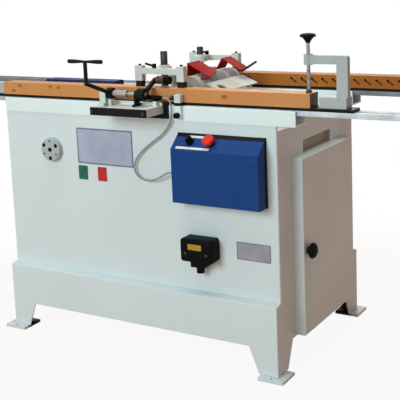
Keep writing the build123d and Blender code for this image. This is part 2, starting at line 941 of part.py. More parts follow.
# Presser columns, standing on the deck behind each stile
with BuildPart() as presser_columns:
    for column_x, column_mid, column_rise in (
        (front_column_x, column_y, front_column_rise),
        (rear_column_x, across(column_y, True), rear_column_rise),
    ):
        with BuildPart() as column:
            bar_z(column_x, column_mid, (deck_top, deck_top + column_flange_height), column_r + column_flange)
            bar_z(column_x, column_mid, (deck_top, deck_top + column_rise), column_r)
            chamfer(column.edges().group_by(Axis.Z)[-1], column_chamfer)
        add(column.part)
save(presser_columns.part, "presser_columns")


def presser_bridge(column_x, legs, lock_x, is_rear):
    """Return a presser bridge: boss on the column, cross beam, two legs and the stud hole of its lock."""
    column_mid = across(column_y, is_rear)
    beam_mid = across(presser_y, is_rear)
    beam_span = about(beam_mid, presser_beam_width / 2)
    collar_top = presser_high + presser_collar_height
    with BuildPart() as part:
        for leg_x in legs:
            leg_z = (stile_top + seat_gap + presser_foot_height, presser_leg_top)
            block(about(leg_x, presser_leg_width / 2), beam_span, leg_z)
        fillet(part.edges().filter_by(Axis.Z), presser_leg_edge)
        block(legs, beam_span, (presser_low, presser_high))
        arm_y = (min(column_mid, beam_mid), max(column_mid, beam_mid))
        block(about(column_x, presser_arm_half), arm_y, (presser_low, presser_high))
        bar_z(column_x, column_mid, (presser_low, presser_high), presser_boss_r)
        bar_z(column_x, column_mid, (presser_high, collar_top), presser_collar_r)
        bore_z = (presser_low - overcut, collar_top + overcut)
        bar_z(column_x, column_mid, bore_z, column_r + guide_gap, Mode.SUBTRACT)
        stud_z = (presser_high - lock_stud_length - overcut, presser_high + overcut)
        bar_z(lock_x, beam_mid, stud_z, lock_stud_r + fit_gap, Mode.SUBTRACT)
    return part.part


def presser_feet(legs, is_rear):
    """Return the rubber feet under a bridge and the small dark caps on its legs."""
    beam_mid = across(presser_y, is_rear)
    low = stile_top + seat_gap
    with BuildPart() as part:
        for leg_x in legs:
            foot_z = (low, low + presser_foot_height)
            foot_span = about(beam_mid, presser_foot_depth / 2)
            block(about(leg_x, presser_foot_width / 2), foot_span, foot_z)
        fillet(part.edges().filter_by(Axis.Z), presser_leg_edge)
        for leg_x in legs:
            bar_z(leg_x, beam_mid, (presser_leg_top, presser_leg_top + presser_cap_height), presser_cap_r)
    return part.part


def lock_lever(lock_x, is_rear):
    """Return the small lever that locks a presser bridge on its column."""
    beam_mid = across(presser_y, is_rear)
    hub_low = presser_high + seat_gap
    arm_z = hub_low + lock_arm_rise
    with BuildPart() as part:
        bar_z(lock_x, beam_mid, (presser_high - lock_stud_length, hub_low), lock_stud_r)
        bar_z(lock_x, beam_mid, (hub_low, hub_low + lock_hub_height), lock_hub_r)
        arm_end = (lock_x - lock_reach, beam_mid, arm_z + lock_lift)
        bar((lock_x, beam_mid, arm_z), arm_end, lock_arm_r)
        arm_rim = part.edges().filter_by(GeomType.CIRCLE).sort_by_distance(arm_end)[0]
        fillet(arm_rim, lock_end_edge)
    return part.part


for prefix, at_rear, column_x, legs, lock_x in (
    ("front", False, front_column_x, front_legs, front_lock_x),
    ("rear", True, rear_column_x, rear_legs, rear_lock_x),
):
    bridge = presser_bridge(column_x, legs, lock_x, at_rear)
    save(group(bridge, presser_feet(legs, at_rear)), prefix + "_presser_bridge")
    save(lock_lever(lock_x, at_rear), prefix + "_lock_lever")

# Guide rails of the heads and the pivot post of the reversing rocker
pivot_top = rocker_z + seat_gap + rocker_thickness + seat_gap
with BuildPart() as head_guides:
    for guide_x in guide_xs:
        block(about(guide_x, guide_width / 2), about(work_y, guide_half), (deck_top, guide_top))
    bar_z(head_x, work_y, (deck_top, rocker_z), pivot_foot_r)
    bar_z(head_x, work_y, (rocker_z, pivot_top), pivot_r)
    bar_z(head_x, work_y, (pivot_top, pivot_top + pivot_cap_height), pivot_cap_r)
save(head_guides.part, "head_guides")


def slide(is_rear, pin_x):
    """Return a head slide with its slanted way, hinge web and rocker lug; the rear one has the feed arm."""
    way_root = slanted(0, 0)
    left_z = way_root[1] + (way_root[0] - slide_x[0]) * tan(radians(slope))
    way_foot = way_root[0] + (way_root[1] - slide_top) / tan(radians(slope))
    way = span(way_y, is_rear)
    key_mid = (way[0] + way[1]) / 2
    with BuildPart() as part:
        block(slide_x, span(slide_y, is_rear), (slide_bottom, slide_top))
        for guide_x in guide_xs:
            groove_y = span((slide_y[0] - overcut, slide_y[1] + overcut), is_rear)
            groove_z = (slide_bottom - overcut, guide_top + guide_gap)
            block(about(guide_x, guide_width / 2 + guide_gap), groove_y, groove_z, Mode.SUBTRACT)
        plate([(slide_x[0], slide_top), (way_foot, slide_top), (slide_x[0], left_z)], way)
        plate(slab(way_key_ends, -overcut, way_key_height), about(key_mid, way_key_width / 2))
        block((slide_x[0], slide_x[0] + web_width), way, (slide_top, knuckle_z))
        bar_y(knuckle_x, way, knuckle_z, guard_hinge_r)
        gap_x = (slide_x[0] - guard_gap_margin, slide_x[0] + web_width + guard_gap_margin)
        gap_y = about(key_mid, guard_barrel_half + seat_gap)
        block(gap_x, gap_y, about(knuckle_z, guard_gap_half), Mode.SUBTRACT)
        bar_y(knuckle_x, way, knuckle_z, guard_pin_r)
        lug_y = span((slide_y[1], work_y + lug_half), is_rear)
        block(about(pin_x, lug_half), lug_y, (guide_top + lug_clearance, rocker_z))
        bar_z(pin_x, work_y, (rocker_z, pivot_top), rocker_pin_r)
        if is_rear:
            arm_y = span(from_slide(feed_arm_span), True)
            arm_z = (guide_top + lug_clearance, feed_z + feed_arm_rise)
            block((feed_x - feed_arm_half, slide_x[0]), arm_y, arm_z)
    return part.part


save(slide(False, head_x - rocker_reach), "front_slide")
save(slide(True, head_x + rocker_reach), "rear_slide")


def cradle(is_rear):
    """Return a motor cradle: shoe on the slanted way under a round housing with a closed front."""
    way = span(way_y, is_rear)
    key_mid = (way[0] + way[1]) / 2
    housing = span((motor_face - housing_front, shoe_y[1]), is_rear)
    cut_y = (housing[0] - overcut, housing[1] + overcut)
    with BuildPart() as part:
        plate(slab(shoe_ends, run_gap, shoe_thickness), span(shoe_y, is_rear))
        bar_y(motor_x, housing, motor_z, housing_r)
        plate(slab(way_cut_ends, -way_cut_depth, run_gap), cut_y, Mode.SUBTRACT)
        groove_y = about(key_mid, way_key_width / 2 + guide_gap)
        plate(slab(way_cut_ends, -overcut, way_key_height + run_gap), groove_y, Mode.SUBTRACT)
        bore_y = span((motor_face, shoe_y[1] + overcut), is_rear)
        bar_y(motor_x, bore_y, motor_z, motor_r + fit_gap, Mode.SUBTRACT)
        bar_y(motor_x, cut_y, motor_z, motor_nose_r + fit_gap, Mode.SUBTRACT)
    return part.part


def motor(is_rear):
    """Return a round router motor with a stepped nose and a finned tail cap."""
    tail = motor_face + motor_length
    cap = tail - motor_tail
    with BuildPart() as part:
        bar_y(motor_x, along((nose_y, motor_face), is_rear), motor_z, motor_nose_r)
        bar_y(motor_x, along((motor_face, cap), is_rear), motor_z, motor_r)
        bar_y(motor_x, along((cap, tail), is_rear), motor_z, motor_tail_r)
        for groove in range(motor_grooves):
            groove_y = cap - motor_groove_pitch * (groove + 1)
            groove_at = (motor_x, across(groove_y, is_rear), motor_z)
            with BuildSketch(Plane(origin=groove_at, x_dir=(1, 0, 0), z_dir=(0, 1, 0))):
                Circle(motor_r + overcut)
                Circle(motor_r - motor_groove_depth, mode=Mode.SUBTRACT)
            extrude(amount=motor_groove_width if is_rear else -motor_groove_width, mode=Mode.SUBTRACT)
        bore_y = along((nose_y - overcut, nose_y + spindle_tail), is_rear)
        bar_y(motor_x, bore_y, motor_z, spindle_r + fit_gap, Mode.SUBTRACT)
    return part.part


def spindle(is_rear):
    """Return a spindle with its collet nut and router bit."""
    nut_y = chuck_y + chuck_tip
    nut_length = chuck_length - chuck_tip
    back = chuck_y + chuck_length
    with BuildPart() as part:
        bar_y(motor_x, along((bit_tip, chuck_y), is_rear), motor_z, bit_r)
        bar_y(motor_x, along((chuck_y, nut_y), is_rear), motor_z, chuck_tip_r)
        nut_at = (motor_x, across(nut_y, is_rear), motor_z)
        with BuildSketch(Plane(origin=nut_at, x_dir=(1, 0, 0), z_dir=(0, 1, 0))):
            RegularPolygon(chuck_r, 6)
        extrude(amount=-nut_length if is_rear else nut_length)
        bar_y(motor_x, along((back, back + spindle_tail), is_rear), motor_z, spindle_r)
    return part.part


def guard_hinge(is_rear, sheet_span, wall_x):
    """Add a guard's hinge barrel and the flange from it to the guard's wall in the open part."""
    way = span(way_y, is_rear)
    barrel = about((way[0] + way[1]) / 2, guard_barrel_half)
    flange_z = (knuckle_z + guard_hinge_r - guard_sheet, knuckle_z + guard_hinge_r)
    flange_x = slide_x[0] + web_width + guard_gap_margin
    block((flange_x, wall_x + overcut), sheet_span, flange_z)
    block((knuckle_x, flange_x + overcut), barrel, flange_z)
    bar_y(knuckle_x, barrel, knuckle_z, guard_hinge_r)
    bore_y = (barrel[0] - overcut, barrel[1] + overcut)
    bar_y(knuckle_x, bore_y, knuckle_z, guard_pin_r + fit_gap, Mode.SUBTRACT)


for prefix, at_rear in (("front", False), ("rear", True)):
    save(cradle(at_rear), prefix + "_cradle")
    save(motor(at_rear), prefix + "_motor")
    save(spindle(at_rear), prefix + "_spindle")

# Front guard: wall, sloping panel with a slanted low edge, and a lip folded down along that edge
guard_y = from_slide(front_guard_span)
wall_x = head_x + front_guard_wall
ridge = (wall_x, housing_top + front_guard_ridge)
low_near = from_housing(front_guard_low)
panel_fall = (ridge[1] - low_near[1]) / (low_near[0] - ridge[0])
far_x = head_x + front_guard_far_low
far_z = ridge[1] - panel_fall * (far_x - ridge[0])
lip_run = Vector(far_x - low_near[0], guard_y[1] - guard_y[0])
with BuildPart() as front_guard:
    strip(ridge, low_near, guard_sheet, guard_y)
    with BuildSketch(Plane.XY.offset(low_near[1] - guard_lip)):
        with BuildLine():
            past = low_near[0] + guard_lip
            near_edge = [(low_near[0], guard_y[0]), (past, guard_y[0])]
            Polyline(*near_edge, (past, guard_y[1]), (far_x, guard_y[1]), close=True)
        make_face()
    extrude(amount=ridge[1] - low_near[1] + guard_lip, mode=Mode.SUBTRACT)
    lip_normal = (lip_run.Y, -lip_run.X, 0)
    lip_at = (low_near[0], guard_y[0], 0)
    with BuildSketch(Plane(origin=lip_at, x_dir=(lip_run.X, lip_run.Y, 0), z_dir=lip_normal)):
        with BuildLine():
            Polyline(
                (0, low_near[1] - guard_lip),
                (0, low_near[1]),
                (-lip_run.length, far_z),
                (-lip_run.length, far_z - guard_lip),
                close=True,
            )
        make_face()
    extrude(amount=-guard_sheet)
    strip((ridge[0], knuckle_z), ridge, guard_sheet, guard_y)
    guard_hinge(False, guard_y, wall_x)

# Black flap that closes the far end of the front guard
with BuildPart() as guard_flap:
    flap_y = (guard_y[1] - flap_inset - flap_thickness, guard_y[1] - flap_inset)
    flap_low = housing_top + flap_bottom
    flap_x = (wall_x + guard_sheet + overcut, head_x + flap_right)
    sheet_drop = guard_sheet * sqrt(1 + panel_fall**2)
    flap_top = [ridge[1] - panel_fall * (x - ridge[0]) - sheet_drop for x in flap_x]
    flap_foot = [(flap_x[0], flap_low), (flap_x[1], flap_low)]
    plate([*flap_foot, (flap_x[1], flap_top[1]), (flap_x[0], flap_top[0])], flap_y)
save(group(front_guard.part, guard_flap.part), "front_guard")

# Rear guard: a folded sheet open at both ends
rear_guard_y = span(from_slide(rear_guard_span), True)
folds = [from_housing(fold) for fold in rear_guard_folds]
with BuildPart() as rear_guard:
    for fold_start, fold_end in zip(folds, folds[1:]):
        strip(fold_start, fold_end, guard_sheet, rear_guard_y)
    guard_hinge(True, rear_guard_y, folds[0][0])

# Handle rod along the low edge of the rear guard
with BuildPart() as guard_handle:
    rod_x = folds[-1][0] + handle_rod_out
    rod_y = (rear_guard_y[0] + handle_rod_start, rear_guard_y[0] + handle_rod_start + handle_rod_length)
    rod_z = folds[-1][1] - handle_rod_drop
    bar((rod_x, rod_y[0], rod_z), (rod_x, rod_y[1], rod_z + handle_rod_lift), handle_rod_r)
save(group(rear_guard.part, guard_handle.part), "rear_guard")

# Feed rod with the yoke for the lever's crank pin
with BuildPart() as feed_rod:
    yoke_y = about(shaft_y, yoke_length_half)
    block(about(feed_x, yoke_half), yoke_y, about(feed_z, yoke_height_half))
    slot_y = about(shaft_y, crank_pin_r + yoke_gap)
    block(about(feed_x, yoke_half + overcut), slot_y, about(feed_z, yoke_slot_half), Mode.SUBTRACT)
    arm_face = span(from_slide(feed_arm_span), True)[0]
    bar_y(feed_x, (yoke_y[1], arm_face), feed_z, feed_rod_r)
save(feed_rod.part, "feed_rod")

# Reversing rocker between the two slides
with BuildPart() as reversing_rocker:
    with BuildSketch(Plane.XY.offset(rocker_z + seat_gap)):
        with Locations((head_x, work_y)):
            SlotCenterToCenter(2 * rocker_reach + rocker_slot_run, rocker_width)
            Circle(pivot_r + fit_gap, mode=Mode.SUBTRACT)
        for slot_x in about(head_x, rocker_reach + rocker_slot_shift):
            with Locations((slot_x, work_y)):
                SlotCenterToCenter(rocker_slot_run, 2 * (rocker_pin_r + rocker_slot_gap), mode=Mode.SUBTRACT)
    extrude(amount=rocker_thickness)
save(reversing_rocker.part, "reversing_rocker")

# Lever bracket: table with cheeks, back rib and slots
cheek_z = (beam_top - bracket_drop, table_z[0])
with BuildPart() as bracket_table:
    block(bracket_x, table_y, table_z)
    block((bracket_x[0], bracket_x[0] + cheek_width), table_y, cheek_z)
    block((bracket_x[1] - cheek_width, bracket_x[1]), table_y, cheek_z)
    block(bracket_x, (table_y[1] - table_rib_width, table_y[1]), (beam_top, beam_top + table_rib_height))
    crank_slot = (feed_hub_x[0] + crank_slot_inset[0], feed_hub_x[1] - crank_slot_inset[1])
    crank_slot_y = (shaft_y - crank_slot_half, table_y[1] - table_rib_width)
    block(crank_slot, crank_slot_y, (table_z[0] - overcut, table_z[1] + overcut), Mode.SUBTRACT)
    with BuildSketch(Plane.XY.offset(table_z[1])):
        for slot_at in table_slots:
            with Locations((slot_at[0], shaft_y + slot_at[1])):
                SlotOverall(table_slot_length, table_slot_width)
    extrude(amount=-bracket_plate, mode=Mode.SUBTRACT)

# Lever bracket: black front plate, and the back plate bolted to the beam
with BuildPart() as bracket_apron:
    block(bracket_x, (table_y[0] - bracket_front, table_y[0]), (cheek_z[0], beam_top))
    back_y = (table_y[1], beam_front)
    block((bracket_x[0], bracket_x[1] + back_wing), back_y, (beam_top - back_drop, beam_top))
    block((bracket_x[1], bracket_x[1] + back_wing), back_y, (beam_top, beam_top + back_wing_rise))
    rod_hole = (back_y[0] - overcut, back_y[1] + overcut)
    bar_y(feed_x, rod_hole, feed_z, feed_rod_hole_r, Mode.SUBTRACT)
save(bracket_apron.part, "bracket_apron")

# Ears that carry the rocker shaft, the sleeve beside the feed hub and the sensor's saddle
with BuildPart() as shaft_ears:
    for ear_x in (left_ear_x, right_ear_x):
        with BuildSketch(Plane.YZ.offset(ear_x[0])):
            with Locations((shaft_y, shaft_z)):
                Circle(ear_r)
            with Locations((shaft_y, (beam_top + shaft_z) / 2)):
                Rectangle(2 * ear_r, shaft_z - beam_top)
            with Locations((shaft_y, beam_top + ear_foot_height / 2)):
                Rectangle(2 * (ear_r + ear_foot), ear_foot_height)
        extrude(amount=ear_x[1] - ear_x[0])
    ear_crown = shaft_ears.edges().filter_by(GeomType.CIRCLE).group_by(Axis.X)[0]
    fillet(ear_crown, ear_edge_r)
    bar_x((feed_hub_x[1] + seat_gap, sleeve_right), shaft_y, shaft_z, sleeve_r)
    bore_x = (left_ear_x[0] - overcut, right_ear_x[1] + overcut)
    bar_x(bore_x, shaft_y, shaft_z, shaft_r + fit_gap, Mode.SUBTRACT)
    block(saddle_x, about(sensor_y, saddle_half), (beam_top, sensor_z + saddle_rise))
    saddle_cut = (saddle_x[0] - overcut, saddle_x[1] + overcut)
    bar_x(saddle_cut, sensor_y, sensor_z, sensor_r + fit_gap, Mode.SUBTRACT)
save(group(bracket_table.part, shaft_ears.part), "bracket_table")

# Rocker shaft
with BuildPart() as rocker_shaft:
    bar_x((bracket_x[0] - shaft_left_proud, stroke_hub_x[1] + shaft_right_proud), shaft_y, shaft_z, shaft_r)
save(rocker_shaft.part, "rocker_shaft")

# Feed lever: hub, crank with pin, arm and post
arm_x = feed_hub_x[0] + lever_arm_inset
lever_y = shaft_y - lever_reach
lever_z = (shaft_z + lever_post_rise[0], shaft_z + lever_post_rise[1])
with BuildPart() as feed_lever:
    bar_x(feed_hub_x, shaft_y, shaft_z, feed_hub_r)
    chamfer(feed_lever.edges().filter_by(GeomType.CIRCLE), hub_chamfer)
    crank_x = (feed_hub_x[0] + crank_inset[0], feed_hub_x[1] - crank_inset[1])
    block(crank_x, about(shaft_y, crank_half), (feed_z - crank_tail, shaft_z))
    bar_x((crank_x[1], feed_x + crank_pin_proud), shaft_y, feed_z, crank_pin_r)
    bar((arm_x, shaft_y, shaft_z), (arm_x, lever_y, lever_z[0]), lever_arm_r)
    with Locations((arm_x, lever_y, lever_z[0])):
        Sphere(lever_arm_r)
    bar_z(arm_x, lever_y, lever_z, lever_post_r)
    hub_bore = (feed_hub_x[0] - overcut, feed_hub_x[1] + overcut)
    bar_x(hub_bore, shaft_y, shaft_z, shaft_r + fit_gap, Mode.SUBTRACT)

# Feed handle: a T with two tapered grips
with BuildPart() as feed_handle:
    handle_z = lever_z[1] + handle_rise
    grip_left = shifted(handle_grip, (-handle_half, 0))
    grip_right = [(-x, r) for x, r in reversed(grip_left)]
    with BuildSketch(Plane(origin=(arm_x, lever_y, handle_z), x_dir=(1, 0, 0), z_dir=(0, -1, 0))):
        with BuildLine():
            Polyline((-handle_half, 0), *grip_left, *grip_right, (handle_half, 0), close=True)
        make_face()
    revolve(axis=Axis((arm_x, lever_y, handle_z), (1, 0, 0)))
    bar_z(arm_x, lever_y, (lever_z[1], handle_z), lever_post_r)
save(group(feed_lever.part, feed_handle.part), "feed_lever")

# Stroke lever: hub, arm and grip pin
grip_y = shaft_y + stroke_reach
grip_z = shaft_z + stroke_lift
stroke_x = stroke_hub_x[1] - stroke_arm_inset
with BuildPart() as stroke_lever:
    bar_x(stroke_hub_x, shaft_y, shaft_z, stroke_hub_r)
    chamfer(stroke_lever.edges().filter_by(GeomType.CIRCLE), hub_chamfer)
    bar((stroke_x, shaft_y, shaft_z), (stroke_x, grip_y, grip_z), stroke_arm_r)
    with Locations((stroke_x, grip_y, grip_z)):
        Sphere(stroke_arm_r)
    bar_x((stroke_x, stroke_x + stroke_pin_length), grip_y, grip_z, stroke_pin_r)
    hub_bore = (stroke_hub_x[0] - overcut, stroke_hub_x[1] + overcut)
    bar_x(hub_bore, shaft_y, shaft_z, shaft_r + fit_gap, Mode.SUBTRACT)
save(stroke_lever.part, "stroke_lever")

with BuildPart() as stroke_grip:
    bar_x((stroke_x + stroke_grip_start, stroke_x + stroke_grip_end), grip_y, grip_z, stroke_grip_r)
    fillet(stroke_grip.edges(), stroke_grip_edge)
    grip_bore = (stroke_x + stroke_grip_start - overcut, stroke_x + stroke_pin_length)
    bar_x(grip_bore, grip_y, grip_z, stroke_pin_r + fit_gap, Mode.SUBTRACT)
save(stroke_grip.part, "stroke_grip")

# Limit sensor with its cord outlet
with BuildPart() as limit_sensor:
    bar_x(sensor_x, sensor_y, sensor_z, sensor_r)
    chamfer(limit_sensor.edges().filter_by(GeomType.CIRCLE), sensor_chamfer)
    bar_x((sensor_x[1], sensor_x[1] + sensor_outlet), sensor_y, sensor_z, sensor_outlet_r)
save(limit_sensor.part, "limit_sensor")

# Control box: back plate and folded cover with a sloping top
box_x = (half_length - box_right_inset - box_width, half_length - box_right_inset)
box_z = (deck_top - box_bottom_drop, deck_top - box_bend_drop, deck_top - box_top_drop)
cover_y = (front - box_depth, front - box_back)
with BuildPart() as control_box_back:
    back_x = (box_x[0] - box_back_proud, box_x[1] + box_back_proud)
    block(back_x, (cover_y[1], front), (box_z[0] - box_back_proud, box_z[2] + box_back_proud))
save(control_box_back.part, "control_box_back")

bend = Vector(0, cover_y[0], box_z[1])
crest = Vector(0, cover_y[1], box_z[2])
lid_up = (crest - bend).normalized()
lid_out = Vector(0, -lid_up.Z, lid_up.Y)
lid_length = (crest - bend).length
lid_mid = lid_length / 2


def lid_plane(x, up, out):
    """Return a plane on the sloping lid, at an X, a distance up the slope and out of it."""
    origin = bend + lid_up * up + lid_out * out + Vector(x, 0, 0)
    return Plane(origin=origin, x_dir=(1, 0, 0), z_dir=lid_out)


def lid_round(x, out, radius, length, mode=Mode.ADD):
    """Add or cut a round in the middle of the lid's slope, from a height out of it."""
    with BuildSketch(lid_plane(box_x[0] + x, lid_mid, out)) as section:
        Circle(radius)
    extrude(section.sketch, amount=length, mode=mode)


with BuildPart() as control_box:
    outside = [
        (cover_y[1], box_z[0]),
        (cover_y[0], box_z[0]),
        (cover_y[0], box_z[1]),
        (cover_y[1], box_z[2]),
    ]
    rib(outside, box_x)
    fillet(control_box.faces().sort_by(Axis.Y)[0].edges(), box_edge_r)
    cavity = [
        (cover_y[1], box_z[0] + box_wall),
        (cover_y[0] + box_wall, box_z[0] + box_wall),
        (cover_y[0] + box_wall, box_z[1] - box_lid_skin[0]),
        (cover_y[1], box_z[2] - box_lid_skin[1]),
    ]
    rib(cavity, (box_x[0] + box_wall, box_x[1] - box_wall), Mode.SUBTRACT)
    for operator_x in (estop_x, selector_x):
        lid_round(operator_x, overcut, lid_hole_r, -lid_hole_depth, Mode.SUBTRACT)
save(control_box.part, "control_box")

# Plain legend strips and the collars of the two operators on the lid
with BuildPart() as lid_fittings:
    for legend_x, legend_up, legend_width, legend_height in (
        legend_low,
        (legend_high[0], lid_length - legend_high[1], legend_high[2], legend_high[3]),
    ):
        with BuildSketch(lid_plane(box_x[0] + legend_x, legend_up, 0)):
            Rectangle(legend_width, legend_height)
        extrude(amount=legend_thickness)
    for operator_x, collar_r in ((estop_x, estop_collar_r), (selector_x, selector_collar_r)):
        lid_round(operator_x, 0, collar_r, collar_height)
        lid_round(operator_x, 0, collar_neck_r, -collar_neck)
        bore_length = collar_height + collar_neck + 2 * overcut
        lid_round(operator_x, collar_height + overcut, operator_bore + fit_gap, -bore_length, Mode.SUBTRACT)

# Emergency stop mushroom
with BuildPart() as estop_button:
    estop_low = collar_height + estop_travel + estop_clear
    lid_round(estop_x, -operator_stem, operator_bore, operator_stem + estop_low + overcut)
    lid_round(estop_x, estop_low, estop_r, estop_height)
    flats = estop_button.faces().filter_by(Plane(origin=(0, 0, 0), z_dir=lid_out))
    fillet(flats.sort_by(Axis.Z)[-1].edges(), estop_edge_r)
save(estop_button.part, "estop_button")

# Selector knob with a bar handle
with BuildPart() as selector_knob:
    selector_low = collar_height + seat_gap
    lid_round(selector_x, -operator_stem, operator_bore, operator_stem + selector_low + overcut)
    lid_round(selector_x, selector_low, selector_r, selector_height)
    with BuildSketch(lid_plane(box_x[0] + selector_x, lid_mid, selector_low + selector_height - overcut)):
        SlotOverall(selector_bar[0], selector_bar[1], rotation=selector_turn)
    extrude(amount=selector_bar[2])
save(selector_knob.part, "selector_knob")

# Connector housing with its downward gland
plug_x = (box_x[0] + plug_inset, box_x[0] + plug_inset + plug_width)
plug_y = (front - plug_depth, front)
plug_mid = (plug_x[0] + plug_x[1]) / 2
with BuildPart() as connector_housing:
    block(plug_x, plug_y, plug_z)
    chamfer(connector_housing.faces().sort_by(Axis.Y)[0].edges(), plug_chamfer)
    neck_y = (front - plug_neck_depth[1], front - plug_neck_depth[0])
    block(about(plug_mid, plug_neck_half), neck_y, (plug_z[0] - plug_neck_drop, plug_z[0]))
    neck_mid = (neck_y[0] + neck_y[1]) / 2
    gland_low = plug_z[0] - plug_gland_drop
    bar_z(plug_mid, neck_mid, (gland_low, plug_z[0] - plug_neck_drop), plug_gland_r)
    bore_z = (gland_low - overcut, gland_low + plug_gland_bore_depth)
    bar_z(plug_mid, neck_mid, bore_z, plug_gland_bore, Mode.SUBTRACT)
save(connector_housing.part, "connector_housing")

# Round-headed screws on the bracket front plate, connector housing and box front
with BuildPart() as cover_screws:
    apron_face = table_y[0] - bracket_front
    for screw_x in (bracket_x[0] + apron_screw[0], bracket_x[1] - apron_screw[0]):
        bar_y(screw_x, (apron_face - apron_screw[2], apron_face), beam_top - bracket_drop / 2, apron_screw[1])
    for screw_x in (plug_x[0] + plug_screw[0], plug_x[1] - plug_screw[0]):
        bar_y(screw_x, (plug_y[0] - plug_screw[2], plug_y[0]), plug_z[0] + plug_screw_rise, plug_screw[1])
    for screw_x in (box_x[0] + box_screw[0], box_x[1] - box_screw[0]):
        bar_y(screw_x, (cover_y[0] - box_screw[2], cover_y[0]), box_z[1] - box_screw_drop, box_screw[1])

# Bare plates and a plain three-stripe sticker on the cabinet front
with BuildPart() as panel_plates:
    plate_left = -half_length + name_plate_inset
    plate_y = (front - plate_thickness, front)
    name_plate_z = (deck_top - name_plate[1], deck_top - name_plate[2])
    block((plate_left, plate_left + name_plate[0]), plate_y, name_plate_z)
    block((half_length - data_plate[0], half_length - data_plate[1]), plate_y, (data_plate[2], data_plate[3]))
    sticker_y = (front - sticker_thickness, front)
    block((plate_left, plate_left + sticker[0]), sticker_y, (deck_top - sticker[1], deck_top - sticker[2]))
save(panel_plates.part, "panel_plates")

# Round bearing flange on the cabinet front
flange_at = (-half_length + flange_inset, front, deck_top - flange_drop)
with BuildPart() as bearing_flange:
    with BuildSketch(Plane(origin=flange_at, x_dir=(1, 0, 0), z_dir=(0, -1, 0))):
        Circle(flange_r)
    extrude(amount=flange_height)
    chamfer(bearing_flange.faces().sort_by(Axis.Y)[0].edges(), flange_chamfer)
    hole_at = (flange_at[0], front - flange_height - overcut, flange_at[2])
    with BuildSketch(Plane(origin=hole_at, x_dir=(1, 0, 0), z_dir=(0, -1, 0))):
        Circle(flange_bore_r)
        with PolarLocations(flange_hole_ring, flange_holes, start_angle=flange_hole_start):
            Circle(flange_hole_r)
        with PolarLocations(flange_hole_ring, flange_holes, start_angle=flange_pin_start):
            Circle(flange_pin_r)
    extrude(amount=-flange_hole_depth - overcut, mode=Mode.SUBTRACT)
save(bearing_flange.part, "bearing_flange")

# Carriage stop on the front of the beam
stop_mid = (stop_x[0] + stop_x[1]) / 2
stop_face = beam_front - stop_depth
stop_knob_z = beam_top - stop_knob_drop
with BuildPart() as stop_block:
    block(stop_x, (stop_face, beam_front), (beam_top - stop_drop, beam_top + stop_rise))
    block(stop_x, (stop_face, beam_front + beam_wall), (beam_top, beam_top + stop_rise))
    fillet(stop_block.edges().filter_by(Axis.Y).group_by(Axis.Z)[-1], stop_edge_r)
    bar_y(stop_mid, (stop_face - overcut, beam_front), stop_knob_z, stop_stud_r + fit_gap, Mode.SUBTRACT)
save(stop_block.part, "stop_block")

with BuildPart() as stop_screw:
    screw_y = beam_front - stop_screw_depth
    screw_z = beam_top + stop_screw_rise
    stud_x = stop_x[0] - stop_screw_length
    bar_x((stud_x - stop_head_length, stud_x), screw_y, screw_z, stop_head_r)
    bar_x((stud_x, stop_x[0]), screw_y, screw_z, stop_screw_r)
save(group(cover_screws.part, stop_screw.part), "cover_screws")

with BuildPart() as stop_knob:
    knob_seat = stop_face - seat_gap
    bar_y(stop_mid, (knob_seat - stop_knob_length, knob_seat), stop_knob_z, stop_knob_r)
    chamfer(stop_knob.edges().filter_by(GeomType.CIRCLE).group_by(Axis.Y)[0], stop_knob_chamfer)
    bar_y(stop_mid, (knob_seat, beam_front - stop_stud_clear), stop_knob_z, stop_stud_r)
save(stop_knob.part, "stop_knob")

# Long deck cover behind the front stile
with BuildPart() as deck_cover:
    cover_x = (-half_length + deck_cover_inset, -half_length + deck_cover_inset + deck_cover_length)
    cover_span = (front_mid + deck_cover_offset, front_mid + deck_cover_offset + deck_cover_width)
    cover_top = deck_top + deck_cover_height
    block(cover_x, cover_span, (deck_top, cover_top))
    fillet(deck_cover.edges().filter_by(Axis.X).group_by(Axis.Z)[-1], deck_cover_edge_r)
    hollow_x = (cover_x[0] + deck_cover_sheet, cover_x[1] - deck_cover_sheet)
    hollow_y = (cover_span[0] + deck_cover_sheet, cover_span[1] - deck_cover_sheet)
    block(hollow_x, hollow_y, (deck_top, cover_top - deck_cover_edge_r), Mode.SUBTRACT)
save(deck_cover.part, "deck_cover")

# Cord gland on the left side of the control box
gland_y = front - gland_depth
gland_z = deck_top - gland_drop
gland_x = box_x[0] - gland_length
with BuildPart() as box_gland:
    bar_x((gland_x, box_x[0]), gland_y, gland_z, gland_r)
save(group(lid_fittings.part, box_gland.part), "box_fittings")

# Sensor cord, straight runs joined by tangent arcs
cord_start = sensor_x[1] + sensor_outlet
cord_points = [
    (cord_start, sensor_y, sensor_z),
    (cord_start + 14.5, sensor_y, sensor_z),
    (cord_start + 26, sensor_y + 1, sensor_z - 8.5),
    (cord_start + 31, sensor_y + 3, sensor_z - 26.5),
    (181, front - 14, deck_top + 24),
    (173, front - 12, deck_top - 4),
    (155, front - 11, deck_top - 32),
    (126, front - 11, deck_top - 57),
    (92, front - 11, deck_top - 80),
    (60, front - 11, deck_top - 104),
    (34, front - 11, deck_top - 130),
    (19, front - 11, deck_top - 156),
    (21, front - 12, deck_top - 182),
    (38, front - 13, deck_top - 201),
    (64, front - 15, deck_top - 208),
    (92, front - 18, deck_top - 206),
    (119, front - 22, deck_top - 197),
    (144, front - 26, deck_top - 183),
    (gland_x - 17, gland_y, gland_z),
    (gland_x, gland_y, gland_z),
]
vectors = [Vector(*point) for point in cord_points]
radii = []
for before, corner, after in zip(vectors, vectors[1:], vectors[2:]):
    arrive = corner - before
    leave = after - corner
    turn = radians(arrive.get_angle(leave))
    radii.append(bend_share * min(arrive.length, leave.length) / tan(turn / 2))
print("cord bend radii", [round(radius, 1) for radius in radii])
